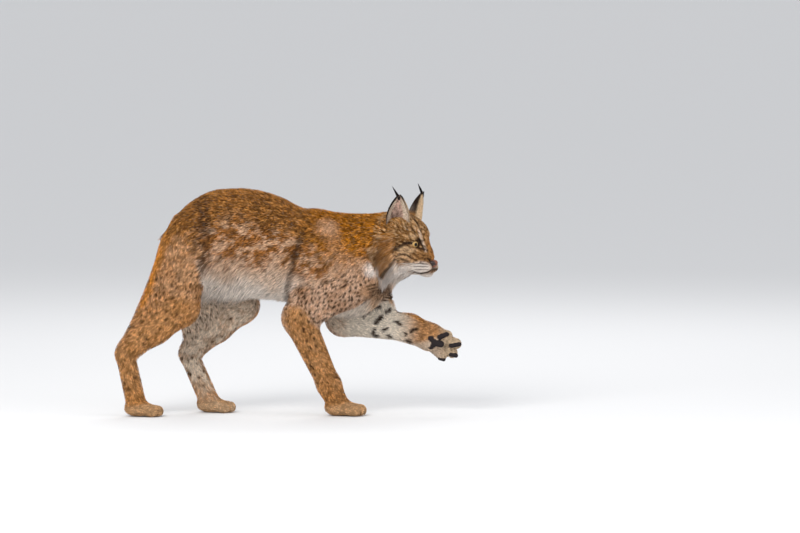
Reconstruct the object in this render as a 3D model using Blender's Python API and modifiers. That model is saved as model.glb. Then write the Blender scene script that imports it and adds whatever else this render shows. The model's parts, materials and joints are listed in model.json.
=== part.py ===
"""A Eurasian lynx at life size, walking with its left foreleg reaching forward, in its named body parts.

Metres, +Z up. The animal faces +X, its left side is +Y, and three of its feet stand on z = 0.
Flesh and coat are one smooth blend of named forms, parted into nodes by thin cuts. Ears, eyes, tail and
the nose leather are pieces of their own. The long hair of ruff, chest, belly and legs is set on as locks.
"""

import math
import random

import bmesh
import bpy
import numpy as np
from mathutils import Matrix, Vector

# Gaps and fineness
GAP = 0.0003
BODY_VOXEL = 0.0070
HEAD_VOXEL = 0.0034
TAIL_VOXEL = 0.0050
NOSE_VOXEL = 0.0012
BODY_TRIANGLES = 5100
HEAD_TRIANGLES = 2600
TAIL_TRIANGLES = 260
NOSE_TRIANGLES = 330
SEED = 11

# The trunk's outline: x, top, bottom and half width of the coat at each station from rump to neck
TRUNK = (
    (-0.345, 0.505, 0.410, 0.034),
    (-0.328, 0.533, 0.376, 0.056),
    (-0.308, 0.556, 0.352, 0.073),
    (-0.285, 0.574, 0.336, 0.086),
    (-0.242, 0.597, 0.321, 0.098),
    (-0.185, 0.606, 0.314, 0.106),
    (-0.114, 0.602, 0.310, 0.110),
    (-0.043, 0.580, 0.303, 0.108),
    (0.010, 0.554, 0.290, 0.103),
    (0.045, 0.553, 0.275, 0.100),
    (0.100, 0.542, 0.262, 0.096),
    (0.157, 0.535, 0.266, 0.087),
    (0.194, 0.532, 0.296, 0.076),
    (0.222, 0.530, 0.336, 0.064),
)

# Joints of each leg, from the trunk down, with the half thickness of the coat round each
FORELEG_RIGHT = {
    "blade": ((0.070, -0.050, 0.470), 0.052),
    "shoulder": ((0.135, -0.066, 0.365), 0.060),
    "elbow": ((-0.002, -0.076, 0.262), 0.043),
    "wrist": ((0.078, -0.050, 0.084), 0.031),
    "ball": ((0.100, -0.036, 0.034), 0.030),
}
FORELEG_LEFT = {
    "blade": ((0.090, 0.050, 0.470), 0.052),
    "shoulder": ((0.190, 0.058, 0.385), 0.056),
    "elbow": ((0.115, 0.066, 0.252), 0.046),
    "wrist": ((0.292, 0.044, 0.228), 0.037),
    "ball": ((0.345, 0.038, 0.202), 0.036),
}
HINDLEG_RIGHT = {
    "hip": ((-0.300, -0.044, 0.458), 0.066),
    "knee": ((-0.316, -0.074, 0.290), 0.047),
    "hock": ((-0.464, -0.064, 0.166), 0.027),
    "ball": ((-0.436, -0.056, 0.036), 0.028),
}
HINDLEG_LEFT = {
    "hip": ((-0.275, 0.044, 0.458), 0.066),
    "knee": ((-0.160, 0.074, 0.288), 0.048),
    "hock": ((-0.298, 0.074, 0.156), 0.027),
    "ball": ((-0.246, 0.072, 0.036), 0.028),
}
REACHING_ARM = ((0.188, 0.056, 0.360), (0.217, 0.054, 0.283), 0.050, 0.038)
SEAT_BONE = {"right": (-0.322, -0.046, 0.425), "left": (-0.312, 0.046, 0.425)}
SEAT_HALF_THICKNESS = 0.050
LIMB_FLAT = 0.86
TAIL = (
    ((-0.318, 0.000, 0.515), 0.026),
    ((-0.346, 0.006, 0.465), 0.023),
    ((-0.362, 0.014, 0.410), 0.022),
    ((-0.366, 0.020, 0.362), 0.019),
)

# The head's own frame: forward, left and up from the point between the eyes, in sizes of an adult head
HEAD_PLACE = (0.3136, -0.045, 0.466)
HEAD_YAW = math.radians(-27)
HEAD_PITCH = math.radians(6.3)
HEAD_SCALE = 1.12
EYE_PLACE = (0.0025, 0.0267, -0.0040)
EYE_RADIUS = 0.0132
LID_THICKNESS = 0.0024
EYE_TURN_OUT = math.radians(30)
EYE_OPENING = (0.0240, 0.0168)
EYE_SLANT = math.radians(14)
NOSE_PLACE = (0.0500, 0.0, -0.0440)
NOSTRIL_PLACE = (0.0575, 0.0068, -0.0468)
NOSTRIL_RADII = (0.0050, 0.0032, 0.0026)
EAR_BASE = (-0.037, 0.044, 0.047)
EAR_TIP = (-0.029, 0.061, 0.106)
EAR_HALF_WIDTH = 0.029
EAR_THICKNESS = 0.0036
EAR_FACES = math.radians(50)
TUFT_TIP = (-0.046, 0.067, 0.127)
TUFT_SPREAD = ((-0.6, 0.80), (0.0, 1.0), (0.5, 0.62))
TUFT_SINK = 0.009
TUFT_ROOT_SPREAD = 0.0016
TUFT_TIP_SPREAD = 0.006
TUFT_BEND = 0.003
TUFT_RINGS = ((0.0, 0.0052, 0.0046), (0.35, 0.0064, 0.0044), (0.72, 0.0040, 0.0030))
MOUTH_LINE = (
    (0.006, 0.0330, -0.0676),
    (0.016, 0.0320, -0.0700),
    (0.028, 0.0290, -0.0710),
    (0.041, 0.0205, -0.0685),
    (0.049, 0.0095, -0.0620),
    (0.0515, 0.0, -0.0590),
)
LIP_GAP_HALF = 0.0008
LIP_GAP_DEPTH = 0.0050

# Paws, each toe by its reach along the paw and its place across it
STANDING_TOES = ((0.047, -0.029), (0.062, -0.0105), (0.062, 0.0105), (0.047, 0.029))
STANDING_TOE_RADIUS = 0.0165
REACHING_TOES = ((0.100, -0.024), (0.131, -0.0125), (0.131, 0.0155), (0.108, 0.0325))
REACHING_TOE_RADIUS = 0.0155
REACHING_PAW_FLAT = 0.62
REACHING_DROP = math.radians(23)
REACHING_ROLL = math.radians(18)
FLOOR_SINK = 0.002
FLOOR_SIZE = (0.1, 2, 2)
HIND_PAW_SCALE = 0.94

# Pads under the reaching paw: start and end of each rod along and across the paw, its depth and radius
PADS = (
    ((0.0762, 0.0020), (0.0628, -0.0059), 0.0225, 0.0085),
    ((0.0762, 0.0020), (0.0937, -0.0012), 0.0225, 0.0085),
    ((0.0762, 0.0020), (0.0713, 0.0153), 0.0225, 0.0085),
    ((0.0790, -0.0125), (0.0975, -0.0320), 0.0165, 0.0062),
    ((0.1200, -0.0070), (0.1390, -0.0200), 0.0165, 0.0060),
    ((0.1300, 0.0165), (0.1430, 0.0140), 0.0165, 0.0060),
    ((0.1069, 0.0405), (0.1172, 0.0390), 0.0135, 0.0055),
)
PAD_BLEND = 0.002

# Locks: share of the length and taper at each ring, rise of the tip, sink of the root, clearance of the skin
LOCK_RINGS = ((0.0, 0.75), (0.34, 1.0), (0.70, 0.62))
LOCK_RISE = 0.14
LOCK_SINK = 0.007
LOCK_CLEARANCE = 0.0025
RUFF_TIERS = (-0.036, -0.050, -0.064)
RUFF_LOCKS = 6

# Lines of locks on each node: start, end, count, the way they lie and their length
FRINGES = {
    "torso": (
        ((-0.215, -0.066, 0.325), (-0.110, -0.066, 0.320), 6, (-0.60, -0.25, -1.0), 0.040),
        ((-0.210, -0.020, 0.315), (0.020, -0.016, 0.290), 10, (-0.75, -0.05, -1.0), 0.038),
        ((-0.060, 0.040, 0.300), (0.040, 0.040, 0.280), 4, (-0.75, 0.15, -1.0), 0.036),
    ),
    "hindleg_right_upper": (
        ((-0.380, -0.060, 0.410), (-0.425, -0.064, 0.330), 6, (-0.35, 0.0, -1.0), 0.042),
    ),
    "hindleg_left_upper": (
        ((-0.330, 0.060, 0.400), (-0.345, 0.064, 0.345), 4, (-0.35, 0.0, -1.0), 0.038),
    ),
    "foreleg_right_upper": (
        ((-0.045, -0.078, 0.325), (-0.040, -0.080, 0.270), 4, (-0.35, 0.0, -1.0), 0.036),
    ),
    "neck": (
        ((0.205, -0.045, 0.395), (0.200, 0.045, 0.395), 4, (-0.20, 0.0, -1.0), 0.038),
    ),
}

COLOURS = {
    "coat": ((0.38, 0.23, 0.11), 0.85),
    "eye": ((0.42, 0.33, 0.12), 0.12),
    "nose": ((0.33, 0.13, 0.09), 0.45),
}


# Forms of the smooth blend


class Ball:
    """An ellipsoid in its own axes, the columns of frame."""

    def __init__(self, centre, radii, blend, frame=None):
        self.centre = np.array(centre, float)
        self.radii = np.array(radii, float)
        self.blend = blend
        self.frame = np.eye(3) if frame is None else np.array(frame, float)

    def distance(self, points):
        local = (points - self.centre) @ self.frame
        shape = np.linalg.norm(local / self.radii, axis=1)
        slope = np.linalg.norm(local / self.radii**2, axis=1)
        return shape * (shape - 1) / np.maximum(slope, 1e-6)

    def balls(self):
        return [(self.centre, self.radii, self.frame)]


class Limb:
    """A rod between two points whose radius runs from one to the other, thinner across the body by flat."""

    def __init__(self, start, end, start_radius, end_radius, blend, flat=1.0):
        self.scale = np.array((1.0, 1.0 / flat, 1.0))
        self.start = np.array(start, float)
        self.end = np.array(end, float)
        self.radii = (start_radius, end_radius)
        self.blend = blend

    def distance(self, points):
        run = (self.end - self.start) * self.scale
        local = (points - self.start) * self.scale
        share = np.clip(local @ run / (run @ run), 0, 1)
        radius = self.radii[0] + share * (self.radii[1] - self.radii[0])
        return np.linalg.norm(local - share[:, None] * run, axis=1) - radius

    def balls(self):
        count = 2 + int(np.linalg.norm(self.end - self.start) / (0.6 * min(self.radii)))
        found = []
        for share in np.linspace(0, 1, count):
            radius = self.radii[0] + share * (self.radii[1] - self.radii[0])
            found.append((self.start + share * (self.end - self.start), radius / self.scale, np.eye(3)))
        return found


class Trunk:
    """The body from rump to neck: upright oval sections whose top, bottom and width follow the stations."""

    def __init__(self, stations, blend):
        self.stations = np.array(stations, float)
        self.blend = blend
        self.low, self.high = self.stations[0, 0], self.stations[-1, 0]

    def section(self, x):
        """Centre height, half height and half width at x, on cubic curves through the stations."""
        xs = self.stations[:, 0]
        slopes = np.gradient(self.stations[:, 1:], xs, axis=0)
        at = np.clip(x, self.low, self.high)
        i = np.clip(np.searchsorted(xs, at) - 1, 0, len(xs) - 2)
        width = xs[i + 1] - xs[i]
        t = ((at - xs[i]) / width)[:, None]
        a, b = self.stations[i, 1:], self.stations[i + 1, 1:]
        sa, sb = slopes[i] * width[:, None], slopes[i + 1] * width[:, None]
        values = (
            (2 * t**3 - 3 * t**2 + 1) * a
            + (t**3 - 2 * t**2 + t) * sa
            + (3 * t**2 - 2 * t**3) * b
            + (t**3 - t**2) * sb
        )
        top, bottom, half_width = values.T
        return (top + bottom) / 2, (top - bottom) / 2, half_width

    def distance(self, points):
        middle, half_height, half_width = self.section(points[:, 0])
        across = points[:, 1] / half_width
        up = (points[:, 2] - middle) / half_height
        shape = np.hypot(across, up)
        slope = np.hypot(across / half_width, up / half_height)
        past = points[:, 0] - np.clip(points[:, 0], self.low, self.high)
        side = shape * (shape - 1) / np.maximum(slope, 1e-6)
        return np.where(past == 0, side, np.hypot(np.maximum(side, 0), past) + np.minimum(side, 0))

    def balls(self):
        xs = np.arange(self.low + 0.01, self.high, 0.012)
        middle, half_height, half_width = self.section(xs)
        return [
            (np.array((x, 0, m)), np.array((0.02, w, h)), np.eye(3))
            for x, m, h, w in zip(xs, middle, half_height, half_width)
        ]


def smooth_union(a, b, blend):
    share = np.clip(0.5 + 0.5 * (b - a) / blend, 0, 1)
    return b + (a - b) * share - blend * share * (1 - share)


def field(points, forms):
    """Below 0 inside the blend of the forms, above 0 outside, and about a distance close to the surface."""
    value = forms[0].distance(points)
    for form in forms[1:]:
        value = smooth_union(value, form.distance(points), form.blend)
    return value


def slope_of(points, forms, step=0.0006):
    parts = []
    for axis in np.eye(3) * step:
        parts.append(field(points + axis, forms) - field(points - axis, forms))
    return np.stack(parts, axis=1) / (2 * step)


def settle(points, forms, rounds=6, longest=0.006):
    """Moves points along the slope on to the surface of the blend."""
    for _ in range(rounds):
        value = field(points, forms)
        slope = slope_of(points, forms)
        move = (value / np.maximum((slope**2).sum(1), 0.1))[:, None] * slope
        far = np.linalg.norm(move, axis=1, keepdims=True)
        points = points - move * np.minimum(1, longest / np.maximum(far, 1e-9))
    return points


# Frames of the head and the reaching paw


def head_frame():
    level = Vector((math.cos(HEAD_YAW), math.sin(HEAD_YAW), 0))
    left = Vector((-math.sin(HEAD_YAW), math.cos(HEAD_YAW), 0))
    forward = level * math.cos(HEAD_PITCH) - Vector((0, 0, math.sin(HEAD_PITCH)))
    return np.array((forward, left, forward.cross(left))).T


HEAD_AXES = head_frame()


def on_head(place, side=1):
    """A place in the head's frame, on its left side or mirrored to its right, in the body's frame."""
    forward, left, up = place
    return np.array(HEAD_PLACE) + HEAD_AXES @ (np.array((forward, left * side, up)) * HEAD_SCALE)


def head_direction(direction, side=1):
    forward, left, up = direction
    found = HEAD_AXES @ np.array((forward, left * side, up))
    return found / np.linalg.norm(found)


def reaching_frame():
    """Columns: along the toes, to the little toe's side, and out of the back of the paw."""
    toes = Vector((math.cos(REACHING_DROP), 0, -math.sin(REACHING_DROP)))
    lifted = Vector((math.sin(REACHING_DROP), 0, math.cos(REACHING_DROP)))
    back = Vector((0, math.cos(REACHING_ROLL), 0)) + lifted * math.sin(REACHING_ROLL)
    return np.array((toes, back.cross(toes), back)).T


# The forms


def head_ball(place, radii, blend, side=1):
    return Ball(on_head(place, side), np.array(radii) * HEAD_SCALE, blend, HEAD_AXES)


def head_rod(start, end, start_radius, end_radius, blend, side=1):
    radii = (start_radius * HEAD_SCALE, end_radius * HEAD_SCALE)
    return Limb(on_head(start, side), on_head(end, side), *radii, blend)


def head_forms():
    """Skull, bridge, muzzle, jaw, cheeks and brows in short face fur, and the core of the ruff."""
    forms = [
        head_ball((-0.046, 0, 0.014), (0.064, 0.054, 0.050), 0.02),
        head_ball((-0.008, 0, 0.016), (0.028, 0.036, 0.026), 0.02),
        head_rod((0.004, 0, 0.015), (0.0350, 0, -0.0335), 0.015, 0.0130, 0.012),
        head_ball((0.012, 0, -0.008), (0.016, 0.017, 0.022), 0.012),
        head_rod((-0.050, 0, -0.048), (0.020, 0, -0.0640), 0.036, 0.0150, 0.016),
        head_ball((0.0325, 0, -0.0705), (0.0155, 0.0160, 0.0108), 0.006),
        head_ball((-0.060, 0, -0.050), (0.046, 0.046, 0.040), 0.03),
    ]
    for side in (-1, 1):
        forms += [
            head_ball((-0.028, 0.033, -0.026), (0.038, 0.027, 0.036), 0.022, side),
            head_ball((0.003, 0.026, 0.0165), (0.012, 0.015, 0.0075), 0.010, side),
            head_ball((0.0285, 0.0160, -0.0565), (0.0240, 0.0185, 0.0168), 0.007, side),
            head_ball((0.006, 0.028, -0.050), (0.024, 0.015, 0.020), 0.014, side),
            head_ball((-0.056, 0.040, -0.046), (0.034, 0.028, 0.044), 0.025, side),
            head_ball((-0.052, 0.044, 0.024), (0.027, 0.023, 0.023), 0.030, side),
            head_ball((0.017, 0.0165, -0.030), (0.020, 0.0140, 0.024), 0.012, side),
            Ball(on_head(EYE_PLACE, side), (EYE_RADIUS + LID_THICKNESS,) * 3, 0.006),
        ]
    return forms


def neck_forms():
    return [
        Limb((0.135, 0.0, 0.420), on_head((-0.080, 0, -0.005)), 0.092, 0.060, 0.05, 0.88),
        Limb((0.165, 0.0, 0.352), on_head((-0.062, 0, -0.058)), 0.072, 0.046, 0.04, 0.9),
    ]


def paw_forms(origin, frame, toes, toe_base, toe_radius, base):
    """A broad paw: a base and four toes, each toe a rod whose end is its ball."""
    place, radii = base
    forms = [Ball(origin + frame @ np.array(place), radii, 0.014, frame)]
    for along, across in toes:
        start = origin + frame @ np.array((toe_base, across * 0.72, 0.003))
        end = origin + frame @ np.array((along, across, -0.004))
        forms.append(Limb(start, end, toe_radius * 0.95, toe_radius, 0.005))
    return forms


def standing_paw(ball_joint, scale=1.0):
    """A paw flat on the floor under its ball joint, sunk so that the floor's cut leaves a small flat."""
    radius = STANDING_TOE_RADIUS * scale
    origin = np.array((ball_joint[0], ball_joint[1], radius - FLOOR_SINK + 0.004))
    toes = [(along * scale, across * scale) for along, across in STANDING_TOES]
    base = ((0.010, 0, 0.0015), (0.045 * scale, 0.037 * scale, 0.0215 * scale))
    return paw_forms(origin, np.eye(3), toes, 0.018, radius, base)


def reaching_paw(wrist):
    """The lifted paw, its toes spread and its palm and pads to the animal's right."""
    frame = reaching_frame()
    base = ((0.060, -0.002, 0.0), (0.050, 0.038, 0.023))
    forms = paw_forms(wrist, frame, REACHING_TOES, 0.070, REACHING_TOE_RADIUS, base)
    for start, end, depth, radius in PADS:
        start, end = wrist + frame @ np.array((*start, -depth)), wrist + frame @ np.array((*end, -depth))
        forms.append(Limb(start, end, radius, radius, PAD_BLEND))
    return forms


def chain(joints, names, blend, flat):
    """Rods from joint to joint down a leg."""
    forms = []
    for upper, lower in zip(names, names[1:]):
        (start, start_radius), (end, end_radius) = joints[upper], joints[lower]
        forms.append(Limb(start, end, start_radius, end_radius, blend, flat))
    return forms


def foreleg_forms(joints, paw, paw_flat):
    forms = chain(joints, ("blade", "shoulder", "elbow"), 0.035, 0.62)
    forms += chain(joints, ("elbow", "wrist"), 0.02, LIMB_FLAT)
    forms += chain(joints, ("wrist", "ball"), 0.02, paw_flat)
    blade, elbow = np.array(joints["blade"][0]), np.array(joints["elbow"][0])
    forms.append(Limb(blade, elbow + np.array((0.006, 0, 0.020)), 0.040, 0.036, 0.03, 0.6))
    return forms + paw


def hindleg_forms(joints, seat):
    forms = chain(joints, ("hip", "knee"), 0.035, 0.62)
    forms += chain(joints, ("knee", "hock"), 0.025, 0.74)
    forms += chain(joints, ("hock", "ball"), 0.012, LIMB_FLAT)
    knee, hock = np.array(joints["knee"][0]), np.array(joints["hock"][0])
    forms.append(Limb(seat, hock + np.array((0.012, 0, 0.026)), SEAT_HALF_THICKNESS, 0.024, 0.03, 0.68))
    forms.append(Limb(seat, knee + (hock - knee) * 0.45, SEAT_HALF_THICKNESS, 0.034, 0.03, 0.68))
    return forms + standing_paw(joints["ball"][0], HIND_PAW_SCALE)


def tail_forms():
    return [
        Limb(start, end, start_radius, end_radius, 0.003)
        for (start, start_radius), (end, end_radius) in zip(TAIL, TAIL[1:])
    ]


def body_forms():
    forms = [Trunk(TRUNK, 0.04)]
    forms += neck_forms()
    forms += foreleg_forms(FORELEG_RIGHT, standing_paw(FORELEG_RIGHT["ball"][0]), LIMB_FLAT)
    reaching = reaching_paw(np.array(FORELEG_LEFT["wrist"][0]))
    forms += foreleg_forms(FORELEG_LEFT, reaching, REACHING_PAW_FLAT)
    forms.append(Limb(*REACHING_ARM, 0.02, 0.7))
    forms += hindleg_forms(HINDLEG_RIGHT, SEAT_BONE["right"])
    forms += hindleg_forms(HINDLEG_LEFT, SEAT_BONE["left"])
    return forms


# Blender objects


def clear_scene():
    for obj in list(bpy.data.objects):
        bpy.data.objects.remove(obj)


def collection(name):
    made = bpy.data.collections.new(name)
    bpy.context.scene.collection.children.link(made)
    return made


def clear_collection(made):
    for obj in list(made.objects):
        bpy.data.objects.remove(obj)
    bpy.data.collections.remove(made)


def object_from(bm, name, home):
    mesh = bpy.data.meshes.new(name)
    bm.to_mesh(mesh)
    bm.free()
    obj = bpy.data.objects.new(name, mesh)
    home.objects.link(obj)
    return obj


def baked(obj):
    """Applies the object's modifiers to its mesh."""
    bpy.context.view_layer.update()
    graph = bpy.context.evaluated_depsgraph_get()
    mesh = bpy.data.meshes.new_from_object(obj.evaluated_get(graph))
    obj.modifiers.clear()
    old, obj.data = obj.data, mesh
    bpy.data.meshes.remove(old)
    return obj


def points_of(mesh, what="co"):
    points = np.empty(len(mesh.vertices) * 3)
    mesh.vertices.foreach_get(what, points)
    return points.reshape(-1, 3)


def boolean(obj, other, operation, solver="EXACT"):
    """Joins or cuts obj with an object or with every object of a collection, and applies it."""
    modifier = obj.modifiers.new("boolean", "BOOLEAN")
    modifier.operation = operation
    modifier.solver = solver
    if isinstance(other, bpy.types.Collection):
        modifier.operand_type = "COLLECTION"
        modifier.collection = other
    else:
        modifier.object = other
    return baked(obj)


def keep_largest(obj):
    """Leaves only the largest closed surface."""
    bm = bmesh.new()
    bm.from_mesh(obj.data)
    bmesh.ops.triangulate(bm, faces=bm.faces)
    seen, islands = set(), []
    for first in bm.faces:
        if first in seen:
            continue
        seen.add(first)
        island, todo = [], [first]
        while todo:
            face = todo.pop()
            island.append(face)
            for edge in face.edges:
                for near in edge.link_faces:
                    if near not in seen:
                        seen.add(near)
                        todo.append(near)
        islands.append(island)

    def volume(island):
        return abs(sum(f.verts[0].co.dot(f.verts[1].co.cross(f.verts[2].co)) for f in island))

    largest = max(islands, key=volume)
    loose = [face for island in islands if island is not largest for face in island]
    bmesh.ops.delete(bm, geom=loose, context="FACES")
    bm.to_mesh(obj.data)
    bm.free()
    return obj


def blended(name, shown, forms, voxel, triangles, home):
    """The shown forms joined by a voxel remesh, drawn on to the smooth blend of all forms and thinned."""
    bm = bmesh.new()
    for form in shown:
        for centre, radii, frame in form.balls():
            place = Matrix.Translation(centre) @ Matrix((frame * radii).tolist()).to_4x4()
            bmesh.ops.create_icosphere(bm, subdivisions=3, radius=1.0, matrix=place)
    obj = object_from(bm, name, home)
    remesh = obj.modifiers.new("remesh", "REMESH")
    remesh.mode = "VOXEL"
    remesh.voxel_size = voxel
    baked(obj)
    obj.data.vertices.foreach_set("co", settle(points_of(obj.data), forms).ravel())
    obj.data.update()
    thin = obj.modifiers.new("thin", "DECIMATE")
    thin.ratio = triangles / (2 * len(obj.data.polygons))
    return baked(obj)


def block(name, place, facing, size, home):
    """A cutter box whose face lies through place and looks along facing, with the box behind that face."""
    depth, width, height = size
    bm = bmesh.new()
    bmesh.ops.create_cube(bm, size=1.0)
    bmesh.ops.scale(bm, vec=(width, height, depth), verts=bm.verts)
    bmesh.ops.translate(bm, vec=(0, 0, -depth / 2), verts=bm.verts)
    obj = object_from(bm, name, home)
    turn = Vector(facing).normalized().to_track_quat("Z", "Y")
    obj.matrix_world = Matrix.Translation(place) @ turn.to_matrix().to_4x4()
    obj.hide_render = True
    obj.display_type = "WIRE"
    return obj


def copy_of(obj, name, home):
    made = obj.copy()
    made.data = obj.data.copy()
    made.name = name
    home.objects.link(made)
    return made


def remove(obj):
    bpy.data.objects.remove(obj)


def cut_off(body, name, cut, home, tools):
    """Parts a node from the body with a thin cut: what lies in the block of the cut becomes the node."""
    place, facing, size = cut
    outer = block(name + "_outer", place, facing, [s + 2 * GAP for s in size], tools)
    outer.location = outer.location + Vector(facing).normalized() * GAP
    inner = block(name + "_inner", place, facing, size, tools)
    bpy.context.view_layer.update()
    piece = keep_largest(boolean(copy_of(body, name, home), inner, "INTERSECT"))
    keep_largest(boolean(body, outer, "DIFFERENCE"))
    remove(inner)
    remove(outer)
    return piece


def grown(obj, by, home):
    """A copy whose surface stands proud of obj's by a small distance, as a cutter that leaves a gap."""
    made = copy_of(obj, obj.name + "_grown", home)
    points = points_of(made.data) + points_of(made.data, "normal") * by
    made.data.vertices.foreach_set("co", points.ravel())
    made.data.update()
    made.hide_render = True
    return made


def clear_of(obj, other, tools, by=GAP):
    """Cuts obj back to a thin gap from other."""
    cutter = grown(other, by, tools)
    boolean(obj, cutter, "DIFFERENCE")
    remove(cutter)
    return keep_largest(obj)


def ball_object(name, centre, radii, frame, home, subdivisions):
    bm = bmesh.new()
    place = Matrix.Translation(centre) @ Matrix((np.array(frame) * np.array(radii)).tolist()).to_4x4()
    bmesh.ops.create_icosphere(bm, subdivisions=subdivisions, radius=1.0, matrix=place)
    return object_from(bm, name, home)


def loft(name, rings, home, tip=None):
    """A closed solid through rings with the same number of points each, flat or drawn to a tip at its end."""
    bm = bmesh.new()
    made = [[bm.verts.new(point) for point in ring] for ring in rings]
    count = len(made[0])
    for lower, upper in zip(made, made[1:]):
        for i in range(count):
            j = (i + 1) % count
            bm.faces.new((lower[i], lower[j], upper[j], upper[i]))
    bm.faces.new(made[0][::-1])
    if tip is None:
        bm.faces.new(made[-1])
    else:
        end = bm.verts.new(tip)
        for i in range(count):
            bm.faces.new((made[-1][i], made[-1][(i + 1) % count], end))
    bmesh.ops.recalc_face_normals(bm, faces=bm.faces)
    bmesh.ops.triangulate(bm, faces=bm.faces)
    return object_from(bm, name, home)


# Eyes, lids, mouth, nose and ears


def eye_axes(side):
    """Columns: the way the eye looks, along the lid opening, and across it."""
    out = head_direction((math.cos(EYE_TURN_OUT), math.sin(EYE_TURN_OUT), 0.02), side)
    along = head_direction((-math.sin(EYE_TURN_OUT), math.cos(EYE_TURN_OUT), math.tan(EYE_SLANT)), side)
    across = np.cross(out, along)
    across /= np.linalg.norm(across)
    return np.array((out, np.cross(across, out), across)).T


def lid_opening(side, home):
    """A cutter with the almond outline of the lids' opening, swept outwards from inside the eyeball."""
    axes = eye_axes(side)
    half_length, half_height = EYE_OPENING[0] / 2, EYE_OPENING[1] / 2
    corners = 14
    rings = []
    for depth, widen in ((0.001, 0.84), (0.030, 1.3)):
        ring = []
        for i in range(corners):
            angle = 2 * math.pi * i / corners
            along = half_length * math.cos(angle)
            across = half_height * math.sin(angle) * abs(math.sin(angle)) ** 0.4
            offset = axes @ np.array((depth, along * widen, across * widen))
            ring.append(on_head(EYE_PLACE, side) + offset)
        rings.append(ring)
    return loft("lid_opening", rings, home)


def set_eyes(head, home):
    """Eyeballs in sockets of the head, each seen through the opening between its lids."""
    cutters = collection("eye_cutters")
    for name, side in (("eye_left", 1), ("eye_right", -1)):
        centre = on_head(EYE_PLACE, side)
        ball_object(name, centre, (EYE_RADIUS,) * 3, eye_axes(side), home, 3)
        ball_object("socket", centre, (EYE_RADIUS + GAP,) * 3, eye_axes(side), cutters, 3)
        lid_opening(side, cutters)
    boolean(head, cutters, "DIFFERENCE")
    clear_collection(cutters)
    keep_largest(head)


def cut_mouth(head, tools):
    """Cuts the line of the mouth: a thin plate bent along the lips from corner to corner."""
    left = list(MOUTH_LINE)
    places = left + [(f, -l, u) for f, l, u in reversed(left[:-1])]
    middle = np.array((-0.012, 0.0, -0.070))
    rings = []
    for place in places:
        place = np.array(place)
        outward = place - middle
        outward[2] = 0
        outward /= np.linalg.norm(outward)
        ring = []
        for reach, rise in ((0.006, -1), (0.006, 1), (-LIP_GAP_DEPTH, 1), (-LIP_GAP_DEPTH, -1)):
            ring.append(on_head(place + outward * reach + np.array((0, 0, rise * LIP_GAP_HALF))))
        rings.append(ring)
    plate = loft("mouth_line", rings, tools)
    boolean(head, plate, "DIFFERENCE")
    remove(plate)
    keep_largest(head)


def make_nose(home, tools):
    """The leather: a rounded wedge with two nostrils."""
    forms = [
        head_ball(NOSE_PLACE, (0.0100, 0.0100, 0.0085), 0.004),
        head_ball((0.0475, 0, -0.0500), (0.0075, 0.0060, 0.0075), 0.004),
    ]
    for side in (-1, 1):
        forms.append(head_ball((0.0475, 0.0080, -0.0450), (0.0080, 0.0062, 0.0062), 0.004, side))
    nose = blended("nose", forms, forms, NOSE_VOXEL, NOSE_TRIANGLES, home)
    for side in (-1, 1):
        nostril = ball_object("nostril", on_head(NOSTRIL_PLACE, side), NOSTRIL_RADII, HEAD_AXES, tools, 2)
        boolean(nose, nostril, "DIFFERENCE")
        remove(nostril)
    return keep_largest(nose)


def ear_sheet(side, rows=8, columns=9):
    """Points of the ear's leaf, rolled into a cup that opens forward and outward."""
    base, tip = on_head(EAR_BASE, side), on_head(EAR_TIP, side)
    up = (tip - base) / np.linalg.norm(tip - base)
    faces = head_direction((math.cos(EAR_FACES), math.sin(EAR_FACES), 0.0), side)
    across = np.cross(up, faces)
    across /= np.linalg.norm(across)
    faces = np.cross(across, up)
    grid = []
    for i in range(rows):
        t = i / (rows - 1)
        widening = (1 - t**1.8) ** 0.8 * (0.90 + 0.35 * t * (1 - t))
        half_width = EAR_HALF_WIDTH * HEAD_SCALE * widening + 0.0016
        roll = math.radians(74 - 26 * t)
        radius = half_width / math.sin(roll)
        middle = base + (tip - base) * (t * 1.16 - 0.16)
        row = []
        for j in range(columns):
            angle = roll * (2 * j / (columns - 1) - 1)
            offset = across * radius * math.sin(angle) - faces * radius * (math.cos(angle) - 0.5)
            row.append(middle + offset)
        grid.append(row)
    return grid


def make_ear(name, side, home):
    bm = bmesh.new()
    grid = [[bm.verts.new(point) for point in row] for row in ear_sheet(side)]
    for lower, upper in zip(grid, grid[1:]):
        for i in range(len(lower) - 1):
            bm.faces.new((lower[i], lower[i + 1], upper[i + 1], upper[i]))
    bmesh.ops.triangulate(bm, faces=bm.faces)
    ear = object_from(bm, name, home)
    solid = ear.modifiers.new("thickness", "SOLIDIFY")
    solid.thickness = EAR_THICKNESS
    solid.offset = 0
    return baked(ear)


# Locks of long hair


def lock(name, root, way, out, size, droop, forms, home):
    """A flat, tapered, bent lock: sunk at its root, then lying over along its way, clear of the skin."""
    length, width, thickness = size
    side = np.cross(way, out)
    side /= np.linalg.norm(side)
    down = np.array((0, 0, droop))
    rings = []
    for share, taper in LOCK_RINGS:
        rise = length * LOCK_RISE * share - LOCK_SINK * (1 - share)
        middle = root + way * (length * share) + out * rise - down * share**2
        half, thick = side * (width * taper / 2), out * (thickness * taper / 2)
        ring = np.array((middle + half, middle + thick, middle - half, middle - thick))
        if share > 0:
            ring += lifted_clear(ring, forms)
        rings.append(ring)
    tip = root + way * length + out * (length * LOCK_RISE) - down
    tip = tip + lifted_clear(tip[None], forms)
    return loft(name, rings, home, tip)


def lifted_clear(points, forms):
    """The move that lifts points out of the skin to LOCK_CLEARANCE above it, none if they are clear."""
    value = field(points, forms)
    lowest = int(np.argmin(value))
    slope = slope_of(points[lowest : lowest + 1], forms)[0]
    slope /= max(np.linalg.norm(slope), 1e-6)
    return slope * max(0, LOCK_CLEARANCE - value[lowest])


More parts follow.
